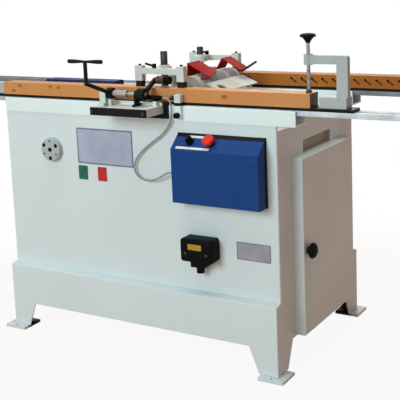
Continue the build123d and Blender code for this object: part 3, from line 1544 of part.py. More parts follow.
with BuildPart() as sensor_cord:
    with BuildLine() as route:
        FilletPolyline(*cord_points, radius=radii)
    with BuildSketch(Plane(origin=cord_points[0], z_dir=vectors[1] - vectors[0])):
        Circle(cord_r)
    sweep()
cord_tube = pi * cord_r**2 * route.wires()[0].length
print("cord volume", round(sensor_cord.part.volume), "section by length", round(cord_tube))
save(sensor_cord.part, "sensor_cord")

print("feed lever range deg", round(degrees(asin(plunge / feed_crank)), 4))
print("rocker reach at full plunge", round(sqrt(rocker_reach**2 + plunge**2), 2))
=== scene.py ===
import json
import logging
import math
from dataclasses import dataclass
from enum import Enum, IntEnum
from functools import partial
from typing import Any, Callable, Dict, List, Mapping, Optional, Sequence, Tuple, Union

import bmesh
import bpy
from mathutils import Matrix, Vector


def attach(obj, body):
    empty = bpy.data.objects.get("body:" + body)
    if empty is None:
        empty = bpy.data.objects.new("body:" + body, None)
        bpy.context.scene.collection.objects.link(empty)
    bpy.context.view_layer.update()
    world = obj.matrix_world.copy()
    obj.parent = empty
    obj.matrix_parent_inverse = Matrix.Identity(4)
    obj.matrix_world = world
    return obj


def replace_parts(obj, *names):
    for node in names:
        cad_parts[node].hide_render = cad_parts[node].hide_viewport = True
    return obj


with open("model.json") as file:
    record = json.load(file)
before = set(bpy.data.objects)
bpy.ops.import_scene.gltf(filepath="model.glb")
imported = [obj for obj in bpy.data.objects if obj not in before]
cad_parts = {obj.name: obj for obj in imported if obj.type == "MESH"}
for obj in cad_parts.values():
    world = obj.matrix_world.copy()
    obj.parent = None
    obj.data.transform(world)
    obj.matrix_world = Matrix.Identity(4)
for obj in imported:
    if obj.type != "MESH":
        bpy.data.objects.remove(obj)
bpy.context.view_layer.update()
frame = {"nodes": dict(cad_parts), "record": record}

log = logging.getLogger("mortiser")

# In metres: a millimetre, the reach of a weld, the thickness of a painted-shade skin, a hair's
# breadth
MM = 0.001
WELD = 0.00001
SKIN = 0.0004
HAIR = 0.00005
# Edges sharper than the first angle are broken; faces flatter than the second are joined
EDGE_ANGLE = math.radians(38)
FLAT_ANGLE = math.radians(0.4)
EDGE_STEPS = 2
CORNER_STEPS = 4
# An edge runs along an axis when this share of its length does
ALONG = 0.9
# The wave texture turns through this many radians in one unit
WAVE_TURN = 20
WHITE = (1.0, 1.0, 1.0, 1.0)

Point = Tuple[float, float, float]
Pair = Tuple[float, float]
Colour = Tuple[float, float, float, float]
Keep = Callable[[Vector], bool]
Adder = Callable[..., bpy.types.Node]


def linear(code: str) -> Colour:
    """Turn an sRGB hex code into linear colour.

    Args:
        code: six hex digits.

    Returns:
        Red, green, blue and a full alpha.
    """
    parts = [int(code[i : i + 2], 16) / 255 for i in (0, 2, 4)]
    curve = [c / 12.92 if c <= 0.04045 else ((c + 0.055) / 1.055) ** 2.4 for c in parts]
    return (curve[0], curve[1], curve[2], 1.0)


def per_metre(size_mm: float) -> float:
    """Return how many features of a size in millimetres lie in a metre of a pattern."""
    return 1 / (size_mm * MM)


def add_node(
    tree: bpy.types.NodeTree,
    kind: str,
    links: Union[Mapping[Any, Any], Sequence[Any]] = (),
    **settings: Any,
) -> bpy.types.Node:
    """Add one node with its settings and links.

    Args:
        tree: the node tree.
        kind: the node's type name without its ShaderNode prefix.
        links: sockets or values for its inputs, in their order or by name or number.
        settings: attributes of the node itself.

    Returns:
        The new node.
    """
    node = tree.nodes.new("ShaderNode" + kind)
    for name, value in settings.items():
        setattr(node, name, value)
    feeds = links.items() if isinstance(links, dict) else enumerate(links)
    for key, value in feeds:
        if isinstance(value, bpy.types.NodeSocket):
            tree.links.new(value, node.inputs[key])
        else:
            node.inputs[key].default_value = value
    return node


def empty_tree(owner: Union[bpy.types.Material, bpy.types.World]) -> Adder:
    """Clear the node tree of a material or a world.

    Args:
        owner: the material or world.

    Returns:
        add_node, bound to that tree.
    """
    owner.use_nodes = True
    owner.node_tree.nodes.clear()
    return partial(add_node, owner.node_tree)


class Slot(Enum):
    """The record's material slots."""

    MINT = "mint_paint"
    CASTING = "casting_paint"
    BRIGHT = "bright_steel"
    DARK = "dark_steel"
    BLACK = "black_paint"
    BLUE = "blue_paint"
    RED = "red_paint"
    PINE = "pine"
    BLACK_PLASTIC = "black_plastic"
    BROWN_PLASTIC = "brown_plastic"
    WHITE_PLASTIC = "white_plastic"
    RED_PLASTIC = "red_plastic"
    PLATE = "plate_metal"
    CORD = "cord_rubber"


class Side(Enum):
    """The two work stations, named from the operator."""

    FRONT = "front"
    REAR = "rear"


class Axis(IntEnum):
    """The axes of the shared frame."""

    X = 0
    Y = 1
    Z = 2


class Edge(float, Enum):
    """Widths of broken edges, in millimetres."""

    FOIL = 0.1
    FILM = 0.2
    PLATE = 0.25
    FINE = 0.3
    SMALL = 0.4
    PLAIN = 0.5
    BAR = 0.6
    CAST = 0.8
    BROAD = 1.0
    SOFT = 1.2
    ROUND = 1.4
    FOLD = 2.5


@dataclass(frozen=True)
class Finish:
    """A surface finish that makes one material."""

    name: str
    slot: Slot

    def pattern(self, add: Adder, place: bpy.types.NodeSocket) -> Dict[str, Any]:
        """Add the finish's pattern and return what feeds the surface shader."""
        raise NotImplementedError

    def build(self) -> bpy.types.Material:
        """Make the material.

        Returns:
            The material, its pattern set on Object coordinates.
        """
        material = bpy.data.materials.new(self.name)
        add = empty_tree(material)
        place = add("TexCoord").outputs["Object"]
        surface = add("BsdfPrincipled", self.pattern(add, place))
        add("OutputMaterial", {"Surface": surface.outputs[0]})
        return material


@dataclass(frozen=True)
class SprayEnamel(Finish):
    """Enamel sprayed on steel or iron: satin, faint orange peel, drifts of tone, rubbed edges."""

    tone: str = "DCE7E8"
    shade: str = "D0DBDD"
    bare: str = "B9BDBB"
    roughness: float = 0.4
    drift_mm: float = 220.0
    peel_mm: float = 2.6
    peel: float = 0.05
    wear_mm: float = 1.2
    wear: float = 0.3
    gloss: float = 0.3
    gloss_swing: float = 0.06
    drift_range: Pair = (0.3, 0.7)
    peel_depth: float = 0.0005
    chip_mm: float = 9.0
    chip_range: Pair = (0.46, 0.62)
    edge_turn: Pair = (0.99, 0.82)
    edge_samples: int = 4

    def edges(self, add: Adder) -> bpy.types.NodeSocket:
        """Find the outer edges of a piece.

        Args:
            add: adds a node to the material.

        Returns:
            A mask that is 1 on an edge and 0 on flat ground.
        """
        rounded = add("Bevel", {"Radius": self.wear_mm * MM}, samples=self.edge_samples)
        normals = (rounded.outputs[0], add("NewGeometry").outputs["Normal"])
        turn = add("VectorMath", normals, operation="DOT_PRODUCT").outputs["Value"]
        return add("MapRange", (turn, *self.edge_turn, 0.0, 1.0)).outputs[0]

    def pattern(self, add: Adder, place: bpy.types.NodeSocket) -> Dict[str, Any]:
        """Lay the coat with its drift, peel and rubbed edges.

        Args:
            add: adds a node to the material.
            place: Object coordinates.

        Returns:
            The surface shader's inputs.
        """
        cloud = {"Vector": place, "Scale": per_metre(self.drift_mm), "Detail": 4.0}
        drift = add("TexNoise", cloud).outputs["Fac"]
        tones = {0: drift, 6: linear(self.tone), 7: linear(self.shade)}
        coat = add("Mix", tones, data_type="RGBA").outputs[2]
        # Hands and chips rub the coat thin on its edges, in short broken stretches
        chips = add("TexNoise", {"Vector": place, "Scale": per_metre(self.chip_mm), "Detail": 3.0})
        broken = add("MapRange", (chips.outputs["Fac"], *self.chip_range, 0.0, self.wear))
        rubbed = add("Math", (self.edges(add), broken.outputs[0]), operation="MULTIPLY")
        worn = {0: rubbed.outputs[0], 6: coat, 7: linear(self.bare)}
        gloss = (self.roughness - self.gloss_swing, self.roughness + self.gloss_swing)
        skin = add("TexNoise", {"Vector": place, "Scale": per_metre(self.peel_mm), "Detail": 1.0})
        relief = {"Strength": self.peel, "Distance": self.peel_depth}
        return {
            "Base Color": add("Mix", worn, data_type="RGBA").outputs[2],
            "Roughness": add("MapRange", (drift, *self.drift_range, *gloss)).outputs[0],
            "Normal": add("Bump", {"Height": skin.outputs["Fac"], **relief}).outputs[0],
            "Specular IOR Level": self.gloss,
        }


@dataclass(frozen=True)
class CastEnamel(SprayEnamel):
    """Enamel over sand castings: a coarser skin than on sheet, rubbed on the edges."""

    roughness: float = 0.45
    drift_mm: float = 60.0
    peel_mm: float = 3.5
    peel: float = 0.12
    wear_mm: float = 1.4
    wear: float = 0.4


@dataclass(frozen=True)
class PowderCoat(SprayEnamel):
    """Powder coat baked on sheet steel: fine even peel, deep colour, hardly any wear."""

    roughness: float = 0.5
    drift_mm: float = 120.0
    peel_mm: float = 1.8
    peel: float = 0.1
    wear_mm: float = 0.9
    wear: float = 0.2
    gloss: float = 0.08


@dataclass(frozen=True)
class GroundSteel(Finish):
    """Ground, turned or blacked steel: tool lines in one direction stretch the reflections."""

    tone: str = "B4B4B0"
    shade: str = "8D8C88"
    roughness: float = 0.3
    line_mm: float = 1.0
    stretch: Point = (0.03, 1.0, 1.0)
    stain_mm: float = 60.0
    line_share: float = 0.6
    share_range: Pair = (0.5, 1.1)
    gloss_swing: Pair = (-0.06, 0.14)
    relief: float = 0.08
    relief_depth: float = 0.0003

    def pattern(self, add: Adder, place: bpy.types.NodeSocket) -> Dict[str, Any]:
        """Draw the tool lines and stains.

        Args:
            add: adds a node to the material.
            place: Object coordinates.

        Returns:
            The surface shader's inputs.
        """
        drawn = add("Mapping", {"Vector": place, "Scale": self.stretch}).outputs[0]
        tool = {"Vector": drawn, "Scale": per_metre(self.line_mm), "Detail": 3.0}
        lines = add("TexNoise", tool).outputs["Fac"]
        stain = add("TexNoise", {"Vector": place, "Scale": per_metre(self.stain_mm), "Detail": 3.0})
        parts = (lines, self.line_share, stain.outputs["Fac"])
        mixed = add("Math", parts, operation="MULTIPLY_ADD").outputs[0]
        share = add("MapRange", (mixed, *self.share_range, 0.0, 1.0)).outputs[0]
        tones = {0: share, 6: linear(self.tone), 7: linear(self.shade)}
        gloss = [self.roughness + swing for swing in self.gloss_swing]
        relief = {"Height": lines, "Strength": self.relief, "Distance": self.relief_depth}
        return {
            "Base Color": add("Mix", tones, data_type="RGBA").outputs[2],
            "Roughness": add("MapRange", (share, 0.0, 1.0, *gloss)).outputs[0],
            "Normal": add("Bump", relief).outputs[0],
            "Metallic": 1.0,
        }


@dataclass(frozen=True)
class TurnedSteel(GroundSteel):
    """Round steel: the tool lines run across its length."""

    roughness: float = 0.28
    line_mm: float = 0.8
    stretch: Point = (1.0, 1.0, 0.1)
    stain_mm: float = 25.0


@dataclass(frozen=True)
class Moulded(Finish):
    """Moulded plastic, rubber or printed film: spark-eroded grit, a skin that drifts in tone."""

    tone: str = "141315"
    shade: str = "1E1C1D"
    roughness: float = 0.42
    grit_mm: float = 1.6
    grit: float = 0.1
    cloud_mm: float = 18.0
    gloss: float = 0.25
    cloud_range: Pair = (0.35, 0.65)
    gloss_swing: Pair = (-0.04, 0.08)
    grit_depth: float = 0.0004

    def pattern(self, add: Adder, place: bpy.types.NodeSocket) -> Dict[str, Any]:
        """Draw the skin and its grit.

        Args:
            add: adds a node to the material.
            place: Object coordinates.

        Returns:
            The surface shader's inputs.
        """
        cloud = add("TexNoise", {"Vector": place, "Scale": per_metre(self.cloud_mm), "Detail": 4.0})
        share = add("MapRange", (cloud.outputs["Fac"], *self.cloud_range, 0.0, 1.0)).outputs[0]
        tones = {0: share, 6: linear(self.tone), 7: linear(self.shade)}
        grain = add("TexNoise", {"Vector": place, "Scale": per_metre(self.grit_mm), "Detail": 2.0})
        relief = {"Strength": self.grit, "Distance": self.grit_depth}
        gloss = [self.roughness + swing for swing in self.gloss_swing]
        return {
            "Base Color": add("Mix", tones, data_type="RGBA").outputs[2],
            "Roughness": add("MapRange", (share, 0.0, 1.0, *gloss)).outputs[0],
            "Normal": add("Bump", {"Height": grain.outputs["Fac"], **relief}).outputs[0],
            "Specular IOR Level": self.gloss,
        }


@dataclass(frozen=True)
class PlateSkin(Moulded):
    """The sealed skin of an anodised or etched aluminium plate: satin, nearly even."""

    roughness: float = 0.4
    grit_mm: float = 1.2
    grit: float = 0.05
    cloud_mm: float = 60.0


@dataclass(frozen=True)
class Film(Moulded):
    """Vinyl film: flat colour with a soft satin skin."""

    roughness: float = 0.45
    grit_mm: float = 1.4
    grit: float = 0.04
    cloud_mm: float = 20.0


@dataclass(frozen=True)
class PlanedPine(Finish):
    """Planed, oiled pine: rings round a pith beside the stile, fibres, knots, dark ends: sealed end
    grain with painted shade.
    """

    early: str = "DB9C5E"
    late: str = "AD6A34"
    heart: str = "96602F"
    sealed: str = "2A1B12"
    ring_mm: float = 4.2
    pith_mm: Pair = (-330.0, 850.0)
    tilt: Pair = (0.012, 0.02)
    gloss: float = 0.25
    knots_mm: Sequence[Point] = ()
    knot_oval: Point = (0.6, 0.0, 1.0)
    knot_core: Pair = (0.5, 1.0)
    knot_pull: Pair = (0.0, 5.0)
    swell: Point = (0.0, 0.004, 0.009)
    ring_run: float = 26.0
    waver: float = 3.4
    waver_scale: float = 0.55
    late_power: float = 2.0
    # Fibres are about 0.05 mm wide; drawn at 1.4 mm so that they show
    fibre_mm: float = 1.4
    fibre_run: float = 0.02
    fibre_share: float = 0.5
    drift_mm: float = 90.0
    drift_share: float = 0.7
    share_range: Pair = (0.2, 1.9)
    end_range: Pair = (0.6, 0.9)
    end_share: float = 0.9
    roughness: Pair = (0.58, 0.46)
    relief: float = 0.12
    relief_depth: float = 0.0004

    def knots(self, add: Adder, place: bpy.types.NodeSocket) -> Tuple[Any, Any]:
        """Mark the knots.

        Args:
            add: adds a node to the material.
            place: Object coordinates.

        Returns:
            Masks of the dark cores and of the bent grain round them.
        """
        core: Any = 0.0
        pull: Any = 0.0
        for knot_x, knot_z, radius in self.knots_mm:
            centre = (knot_x * MM, 0.0, knot_z * MM)
            away = add("VectorMath", (place, centre), operation="SUBTRACT").outputs[0]
            flat = add("VectorMath", (away, self.knot_oval), operation="MULTIPLY").outputs[0]
            reach = add("VectorMath", (flat,), operation="LENGTH").outputs["Value"]
            masks = []
            for mask, ends in ((core, self.knot_core), (pull, self.knot_pull)):
                fade = (reach, *[end * radius * MM for end in ends], 1.0, 0.0)
                spot = add("MapRange", fade, interpolation_type="SMOOTHSTEP").outputs[0]
                masks.append(add("Math", (mask, spot), operation="MAXIMUM").outputs[0])
            core, pull = masks
        return core, pull

    def rings(self, add: Adder, bent: bpy.types.NodeSocket) -> bpy.types.NodeSocket:
        """Draw the growth rings.

        Args:
            add: adds a node to the material.
            bent: coordinates pushed aside by the knots.

        Returns:
            Late wood as 1, early wood as 0.
        """
        pith = {
            "Vector": bent,
            "Location": (0.0, self.pith_mm[0] * MM, self.pith_mm[1] * MM),
            "Rotation": (0.0, *self.tilt),
            "Scale": (self.ring_run, 1.0, 1.0),
        }
        waves = {
            "Vector": add("Mapping", pith, vector_type="TEXTURE").outputs[0],
            "Scale": 2 * math.pi / (WAVE_TURN * self.ring_mm * MM),
            "Distortion": self.waver,
            "Detail": 2.0,
            "Detail Scale": self.waver_scale,
        }
        years = {"wave_type": "RINGS", "rings_direction": "X", "wave_profile": "SAW"}
        grown = add("TexWave", waves, **years).outputs["Fac"]
        return add("Math", (grown, self.late_power), operation="POWER").outputs[0]

    def pattern(self, add: Adder, place: bpy.types.NodeSocket) -> Dict[str, Any]:
        """Draw the grain, the knots and the dark ends, sealed end grain with painted shade.

        Args:
            add: adds a node to the material.
            place: Object coordinates.

        Returns:
            The surface shader's inputs.
        """
        core, pull = self.knots(add, place)
        # The rings swell round a knot, so the grain is pushed up and down where one sits
        bent = add("VectorMath", (pull, self.swell, place), operation="MULTIPLY_ADD").outputs[0]
        late = self.rings(add, bent)
        long = add("Mapping", {"Vector": place, "Scale": (self.fibre_run, 1.0, 1.0)}).outputs[0]
        fibre = add("TexNoise", {"Vector": long, "Scale": per_metre(self.fibre_mm), "Detail": 3.0})
        drift = add("TexNoise", {"Vector": place, "Scale": per_metre(self.drift_mm), "Detail": 2.0})
        grain = (fibre.outputs["Fac"], self.fibre_share, late)
        fine = add("Math", grain, operation="MULTIPLY_ADD").outputs[0]
        board = (drift.outputs["Fac"], self.drift_share, fine)
        both = add("Math", board, operation="MULTIPLY_ADD").outputs[0]
        share = add("MapRange", (both, *self.share_range, 0.0, 1.0)).outputs[0]
        tones = {0: share, 6: linear(self.early), 7: linear(self.late)}
        wood = add("Mix", tones, data_type="RGBA").outputs[2]
        spots = {0: core, 6: wood, 7: linear(self.heart)}
        knotted = add("Mix", spots, data_type="RGBA").outputs[2]
        # The end faces turn dark: sealed end grain, with painted shade for the shadow on the
        # stile's ends
        facing = add("SeparateXYZ", (add("TexCoord").outputs["Normal"],)).outputs[0]
        square = add("Math", (facing, facing), operation="MULTIPLY").outputs[0]
        end = add("MapRange", (square, *self.end_range, 0.0, self.end_share)).outputs[0]
        ends = {0: end, 6: knotted, 7: linear(self.sealed)}
        relief = {"Height": share, "Strength": self.relief, "Distance": self.relief_depth}
        return {
            "Base Color": add("Mix", ends, data_type="RGBA").outputs[2],
            "Roughness": add("MapRange", (share, 0.0, 1.0, *self.roughness)).outputs[0],
            "Normal": add("Bump", relief).outputs[0],
            "Specular IOR Level": self.gloss,
        }


class Coat(Enum):
    """Every finish on the machine."""

    # Pale mint enamel on sheet steel: clean, even, a soft sheen at grazing angles
    MINT = SprayEnamel("mint_spray_enamel", Slot.MINT)
    # The same enamel on the beams, in a whiter tone: painted light, for the brighter light on the
    # beams
    BEAM = SprayEnamel("beam_lit_enamel", Slot.MINT, "E8F5F4", "DFECEB")
    # Dull enamel inside the hand recess, darker than round it: painted shade in the recess
    RECESS = SprayEnamel(
        "recess_shade_enamel",
        Slot.MINT,
        "B9B6A9",
        "A4A195",
        "827E74",
        roughness=0.6,
        drift_mm=30.0,
        peel_mm=3.0,
        peel=0.1,
        wear_mm=1.0,
    )
    # Grey-green enamel on the castings
    CASTING = CastEnamel("casting_enamel", Slot.CASTING, "D8DED9", "C4CBC6", "A8AAA7")
    # The same enamel in a greyer tone, a little more rubbed on the edges, on the clamps and the
    # bearing flange
    HANDLED = CastEnamel(
        "handled_casting_enamel", Slot.CASTING, "B5BEBA", "A4ABA8", "868886", wear=0.45
    )
    # Blue powder coat of the control box
    BLUE = PowderCoat("blue_powder_coat", Slot.BLUE, "1D4683", "183C77", "3C5C92")
    # The same powder coat in a darker tone, on the deck cover
    NAVY = PowderCoat(
        "navy_powder_coat", Slot.BLUE, "192C5C", "13234C", "33456F", drift_mm=90.0
    )
    # Black stove enamel on levers and bars: near black, a little bare steel at handled edges
    BLACK = SprayEnamel(
        "black_stove_enamel",
        Slot.BLACK,
        "080809",
        "100F11",
        "353330",
        roughness=0.48,
        drift_mm=70.0,
        peel_mm=2.2,
        peel=0.06,
        wear_mm=0.8,
        gloss=0.1,
    )
    # Hammered silver-grey on router motor bodies: fine dimples
    MOTOR = SprayEnamel(
        "motor_grey_enamel",
        Slot.BLACK,
        "B9BEBA",
        "A2A7A3",
        "8C8A84",
        roughness=0.45,
        drift_mm=40.0,
        peel_mm=3.0,
        peel=0.2,
        wear_mm=1.0,
        wear=0.4,
        gloss=0.25,
    )
    # Red enamel on folded guards: satin, chipped along the folds
    RED = SprayEnamel(
        "red_guard_enamel",
        Slot.RED,
        "B4221C",
        "981A16",
        "A8584E",
        roughness=0.55,
        drift_mm=60.0,
        peel_mm=2.0,
        peel=0.06,
        wear_mm=1.0,
        gloss=0.04,
    )
    # Surface-ground rails: lengthwise grinding lines, greyed by wear
    RAIL = GroundSteel("ground_rail_steel", Slot.BRIGHT, "B0B2B4", "8C8F92", roughness=0.48)
    # The rear rail: rougher, and a darker grey as painted shade
    DULL_RAIL = GroundSteel("shaded_rail_steel", Slot.BRIGHT, "7A7E82", "5E6266", roughness=0.52)
    # Turned shafts, rods and screws: bright
    TURNED = TurnedSteel("turned_steel", Slot.BRIGHT, "B6B4AE", "8C8982")
    # Rolled screw thread, drawn as bands across the rod: painted shade in the roots, painted
    # highlights on the crests
    THREAD = TurnedSteel(
        "threaded_steel",
        Slot.BRIGHT,
        "989A9A",
        "4E5052",
        roughness=0.4,
        line_mm=3.0,
        stretch=(0.05, 0.05, 1.0),
    )
    # Oil-blacked steel: nearly black with a dull brown-grey sheen
    OXIDE = TurnedSteel(
        "oil_blacked_steel",
        Slot.DARK,
        "4A4643",
        "2E2B29",
        roughness=0.44,
        line_mm=0.9,
        stain_mm=30.0,
    )
    # Anodised aluminium name plate: lavender-grey, a darker border
    PLATE = PlateSkin("anodised_plate", Slot.PLATE, "B0B4C8", "A3A8BD")
    PLATE_EDGE = PlateSkin("anodised_plate_border", Slot.PLATE, "7A7E98", "6E728A")
    # Etched aluminium data plate: greyer, a darker border
    DATA = PlateSkin("etched_data_plate", Slot.PLATE, "A5A4AD", "96959F", cloud_mm=40.0)
    DATA_EDGE = PlateSkin(
        "etched_data_plate_border", Slot.PLATE, "7F7E88", "73727C", cloud_mm=40.0
    )
    # Vinyl film in three plain colours
    GREEN_FILM = Film("green_vinyl_film", Slot.PLATE, "1E6753", "195846")
    WHITE_FILM = Film("white_vinyl_film", Slot.PLATE, "DDE2E2", "D2D8D8")
    RED_FILM = Film("red_vinyl_film", Slot.PLATE, "C42A28", "B02322")
    # Phenolic and nylon mouldings: black, satin
    BLACK_PLASTIC = Moulded(
        "black_phenolic", Slot.BLACK_PLASTIC, "070606", "0F0D0C", roughness=0.5, gloss=0.05
    )
    # Vulcanised rubber: matt, slightly grey with dust
    RUBBER = Moulded(
        "vulcanised_rubber",
        Slot.BLACK_PLASTIC,
        "141313",
        "201E1D",
        roughness=0.75,
        grit_mm=2.0,
        grit=0.2,
        cloud_mm=12.0,
        gloss=0.15,
    )
    # Marbled brown phenolic: dark streaks in brown
    BROWN = Moulded(
        "marbled_phenolic",
        Slot.BROWN_PLASTIC,
        "6B4227",
        "331E13",
        roughness=0.4,
        grit=0.06,
        cloud_mm=9.0,
    )
    # White laminate strips: plain, satin
    WHITE_PLASTIC = Moulded(
        "white_laminate", Slot.WHITE_PLASTIC, "E2E4E4", "D5D8D8", roughness=0.45
    )
    # Red polyamide button: even colour, satin
    RED_PLASTIC = Moulded("red_polyamide", Slot.RED_PLASTIC, "DF3224", "CC2A1E", gloss=0.12)
    # Ochre film on the connector: paper under clear film
    OCHRE = Film("ochre_film", Slot.PLATE, "BE962C", "A38024", grit=0.05, cloud_mm=8.0)
    # Grey PVC jacket: satin, a little chalky
    CORD = Moulded(
        "grey_cord_jacket",
        Slot.CORD,
        "9A9E9C",
        "8A8E8C",
        roughness=0.5,
        grit_mm=1.2,
        cloud_mm=14.0,
    )
    # Front stile, paler, with the knots of its near face
    PINE = PlanedPine(
        "planed_pine",
        Slot.PINE,
        knots_mm=(
            (-485.0, 914.0, 8.0),
            (-517.0, 895.0, 8.0),
            (-343.0, 914.0, 7.0),
            (-306.0, 912.0, 7.0),
            (-95.0, 897.0, 6.0),
            (368.0, 905.0, 9.0),
        ),
    )
    # Rear stile, cut nearer the heart: redder and darker, partly a darker board and partly painted
    # shade for the shadow on the rear stile
    HEART_PINE = PlanedPine(
        "shaded_heart_pine",
        Slot.PINE,
        "BA7530",
        "7C4314",
        "4E290F",
        pith_mm=(150.0, 960.0),
        gloss=0.12,
        knots_mm=((140.0, 905.0, 8.0),),
    )


class Palette:
    """The materials, each made once when a piece first wears it."""

    made: Dict[Coat, bpy.types.Material] = {}

    @classmethod
    def get(cls, coat: Coat) -> bpy.types.Material:
        """Look up the material of a finish.

        Args:
            coat: the finish.

        Returns:
            Its material.
        """
        if coat not in cls.made:
            cls.made[coat] = coat.value.build()
        return cls.made[coat]


BODY_OF: Dict[str, str] = {
    node: body for body, nodes in frame["record"]["behaviour"]["bodies"].items() for node in nodes
}


def finish_piece(bm: bmesh.types.BMesh, name: str, coat: Coat, body: str) -> bpy.types.Object:
    """Turn a finished bmesh into a dressed piece that rides on a body.

    Args:
        bm: the shape, in metres; it is freed here.
        name: the piece's name.
        coat: its finish.
        body: the CAD body that it moves with.

    Returns:
        The new object.
    """
    mesh = bpy.data.meshes.new(name)
    for face in bm.faces:
        face.smooth = True
    bm.to_mesh(mesh)
    bm.free()
    mesh.materials.append(Palette.get(coat))
    piece = bpy.data.objects.new(name, mesh)
    bpy.context.scene.collection.objects.link(piece)
    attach(piece, body)
    log.info("built %s on %s in %s", name, body, coat.value.name)
    return piece


def add_edges(piece: bpy.types.Object, width_mm: float) -> None:
    """Break a piece's sharp edges with a small live bevel.

    Args:
        piece: the piece.
        width_mm: the width of its broken edges.
    """
    bevel = piece.modifiers.new("broken_edges", "BEVEL")
    bevel.width = width_mm * MM
    bevel.segments = EDGE_STEPS
    bevel.limit_method = "ANGLE"
    bevel.angle_limit = EDGE_ANGLE
    flat = piece.modifiers.new("flat_faces", "WEIGHTED_NORMAL")
    flat.keep_sharp = True


def add_wall(piece: bpy.types.Object, name: str, thickness: float) -> None:
    """Give an open sheet its thickness on the side that it faces.

    Args:
        piece: the sheet.
        name: the name of the wall.
        thickness: its thickness, in metres.
    """
    wall = piece.modifiers.new(name, "SOLIDIFY")
    wall.thickness = thickness
    wall.offset = 1.0


def islands(bm: bmesh.types.BMesh) -> List[List[bmesh.types.BMVert]]:
    """Find the separate solids in a bmesh.

    Args:
        bm: the welded mesh.

    Returns:
        The vertices of each solid.
    """
    left = set(bm.verts)
    found = []
    while left:
        border = [left.pop()]
        solid = []
        while border:
            vert = border.pop()
            solid.append(vert)
            near = {edge.other_vert(vert) for edge in vert.link_edges} & left
            left -= near
            border.extend(near)
        found.append(solid)
    return found


def copied(node: str, keep: Optional[Keep] = None) -> bmesh.types.BMesh:
    """Copy a CAD node's mesh, weld it and join its flat triangles.

    Args:
        node: the CAD node.
        keep: says from the middle of a solid's box whether the solid stays.

    Returns:
        The welded copy.
    """
    bm = bmesh.new()
    bm.from_mesh(frame["nodes"][node].data)
    bmesh.ops.remove_doubles(bm, verts=bm.verts, dist=WELD)
    if keep:
        for solid in islands(bm):
            low = Vector([min(vert.co[axis] for vert in solid) for axis in range(3)])
            high = Vector([max(vert.co[axis] for vert in solid) for axis in range(3)])
            if not keep((low + high) / 2):
                bmesh.ops.delete(bm, geom=solid, context="VERTS")
    bmesh.ops.dissolve_limit(bm, angle_limit=FLAT_ANGLE, verts=bm.verts, edges=bm.edges)
    return bm


def ease(
    node: str,
    coat: Coat,
    edge_mm: float = Edge.PLAIN,
    name: str = "",
    keep: Optional[Keep] = None,
    stands_for: bool = True,
) -> None:
    """Replace a CAD node, or some of its solids, by a dressed copy with broken edges.

    Args:
        node: the CAD node.
        coat: the finish.
        edge_mm: the width of the broken edges.
        name: the piece's name, or none to name it after the node.
        keep: says from the middle of a solid's box whether the solid is in this piece.
        stands_for: false for the second and later pieces of one node.
    """
    piece = finish_piece(copied(node, keep), name or node + "_eased", coat, BODY_OF[node])
    add_edges(piece, edge_mm)
    if stands_for:
        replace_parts(piece, node)


def sort_solids(node: str, *parts: Tuple[str, Coat, float, Keep]) -> None:
    """Dress the solids of a CAD node as several pieces, the first standing for the node.

    Args:
        node: the CAD node.
        parts: name, finish, width of the broken edges and choice of solids of each piece.
    """
    for index, (name, coat, edge_mm, keep) in enumerate(parts):
        ease(node, coat, edge_mm, name, keep, index == 0)


def normal_of(axis: Axis) -> Vector:
    """Return the normal of the planes across an axis."""
    return Vector([float(other is axis) for other in Axis])


def slice_of(
    node: str,
    axis: Axis,
    name: str,
    coat: Coat,
    edge_mm: float,
    ends: Pair,
    keep: Optional[Keep] = None,
) -> bpy.types.Object:
    """Make a dressed piece from the part of a CAD node between two planes.

    Args:
        node: the CAD node.
        axis: the axis that the planes cross.
        name: the piece's name.
        coat: its finish.
        edge_mm: the width of its broken edges.
        ends: where the two planes stand on that axis, in metres.
        keep: says from the middle of a solid's box whether the solid is in this piece.

    Returns:
        The new piece.
    """
    bm = copied(node, keep)
    for end, away in zip(ends, (-1.0, 1.0)):
        cut = bmesh.ops.bisect_plane(
            bm,
            geom=[*bm.verts, *bm.edges, *bm.faces],
            plane_co=normal_of(axis) * end,
            plane_no=normal_of(axis) * away,
            clear_outer=True,
        )
        rim = [item for item in cut["geom_cut"] if isinstance(item, bmesh.types.BMEdge)]
        bmesh.ops.triangle_fill(bm, edges=rim, use_beauty=True)
    bmesh.ops.dissolve_limit(bm, angle_limit=FLAT_ANGLE, verts=bm.verts, edges=bm.edges)
    bmesh.ops.recalc_face_normals(bm, faces=bm.faces)
    piece = finish_piece(bm, name, coat, BODY_OF[node])
    add_edges(piece, edge_mm)
    return piece


def cut_up(node: str, axis: Axis, *parts: Tuple[str, Coat, float, Pair]) -> None:
    """Dress a CAD node as several slices, the first standing for the node.

    Args:
        node: the CAD node.
        axis: the axis that the planes cross.
        parts: name, finish, width of the broken edges and end planes of each slice.
    """
    pieces = [slice_of(node, axis, *part) for part in parts]
    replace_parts(pieces[0], node)


def paint_shade_skin(
    node: str,
    is_shaded: Callable[[bmesh.types.BMFace], bool],
    name: str,
    cuts: Sequence[Tuple[Axis, float]] = (),
    margin_mm: float = 0.0,
) -> None:
    """Lay a thin black skin on some faces of a CAD node: painted shade for faces that lie in
    shadow.

    Args:
        node: the CAD node.
        is_shaded: says whether a face gets the painted-shade skin.
        name: the piece's name.
        cuts: axis and place, in metres, of planes that part the faces beforehand.
        margin_mm: how far the skin stays from the edges of what it lines.
    """
    bm = copied(node)
    for axis, place in cuts:
        whole = [*bm.verts, *bm.edges, *bm.faces]
        plane = normal_of(axis)
        bmesh.ops.bisect_plane(bm, geom=whole, plane_co=plane * place, plane_no=plane)
    unshaded = [face for face in bm.faces if not is_shaded(face)]
    bmesh.ops.delete(bm, geom=unshaded, context="FACES")
    if margin_mm:
        width = margin_mm * MM
        edge = bmesh.ops.inset_region(bm, faces=bm.faces, thickness=width, use_boundary=True)
        bmesh.ops.delete(bm, geom=edge["faces"], context="FACES")
    add_wall(finish_piece(bm, name, Coat.BLACK, BODY_OF[node]), "skin", SKIN)


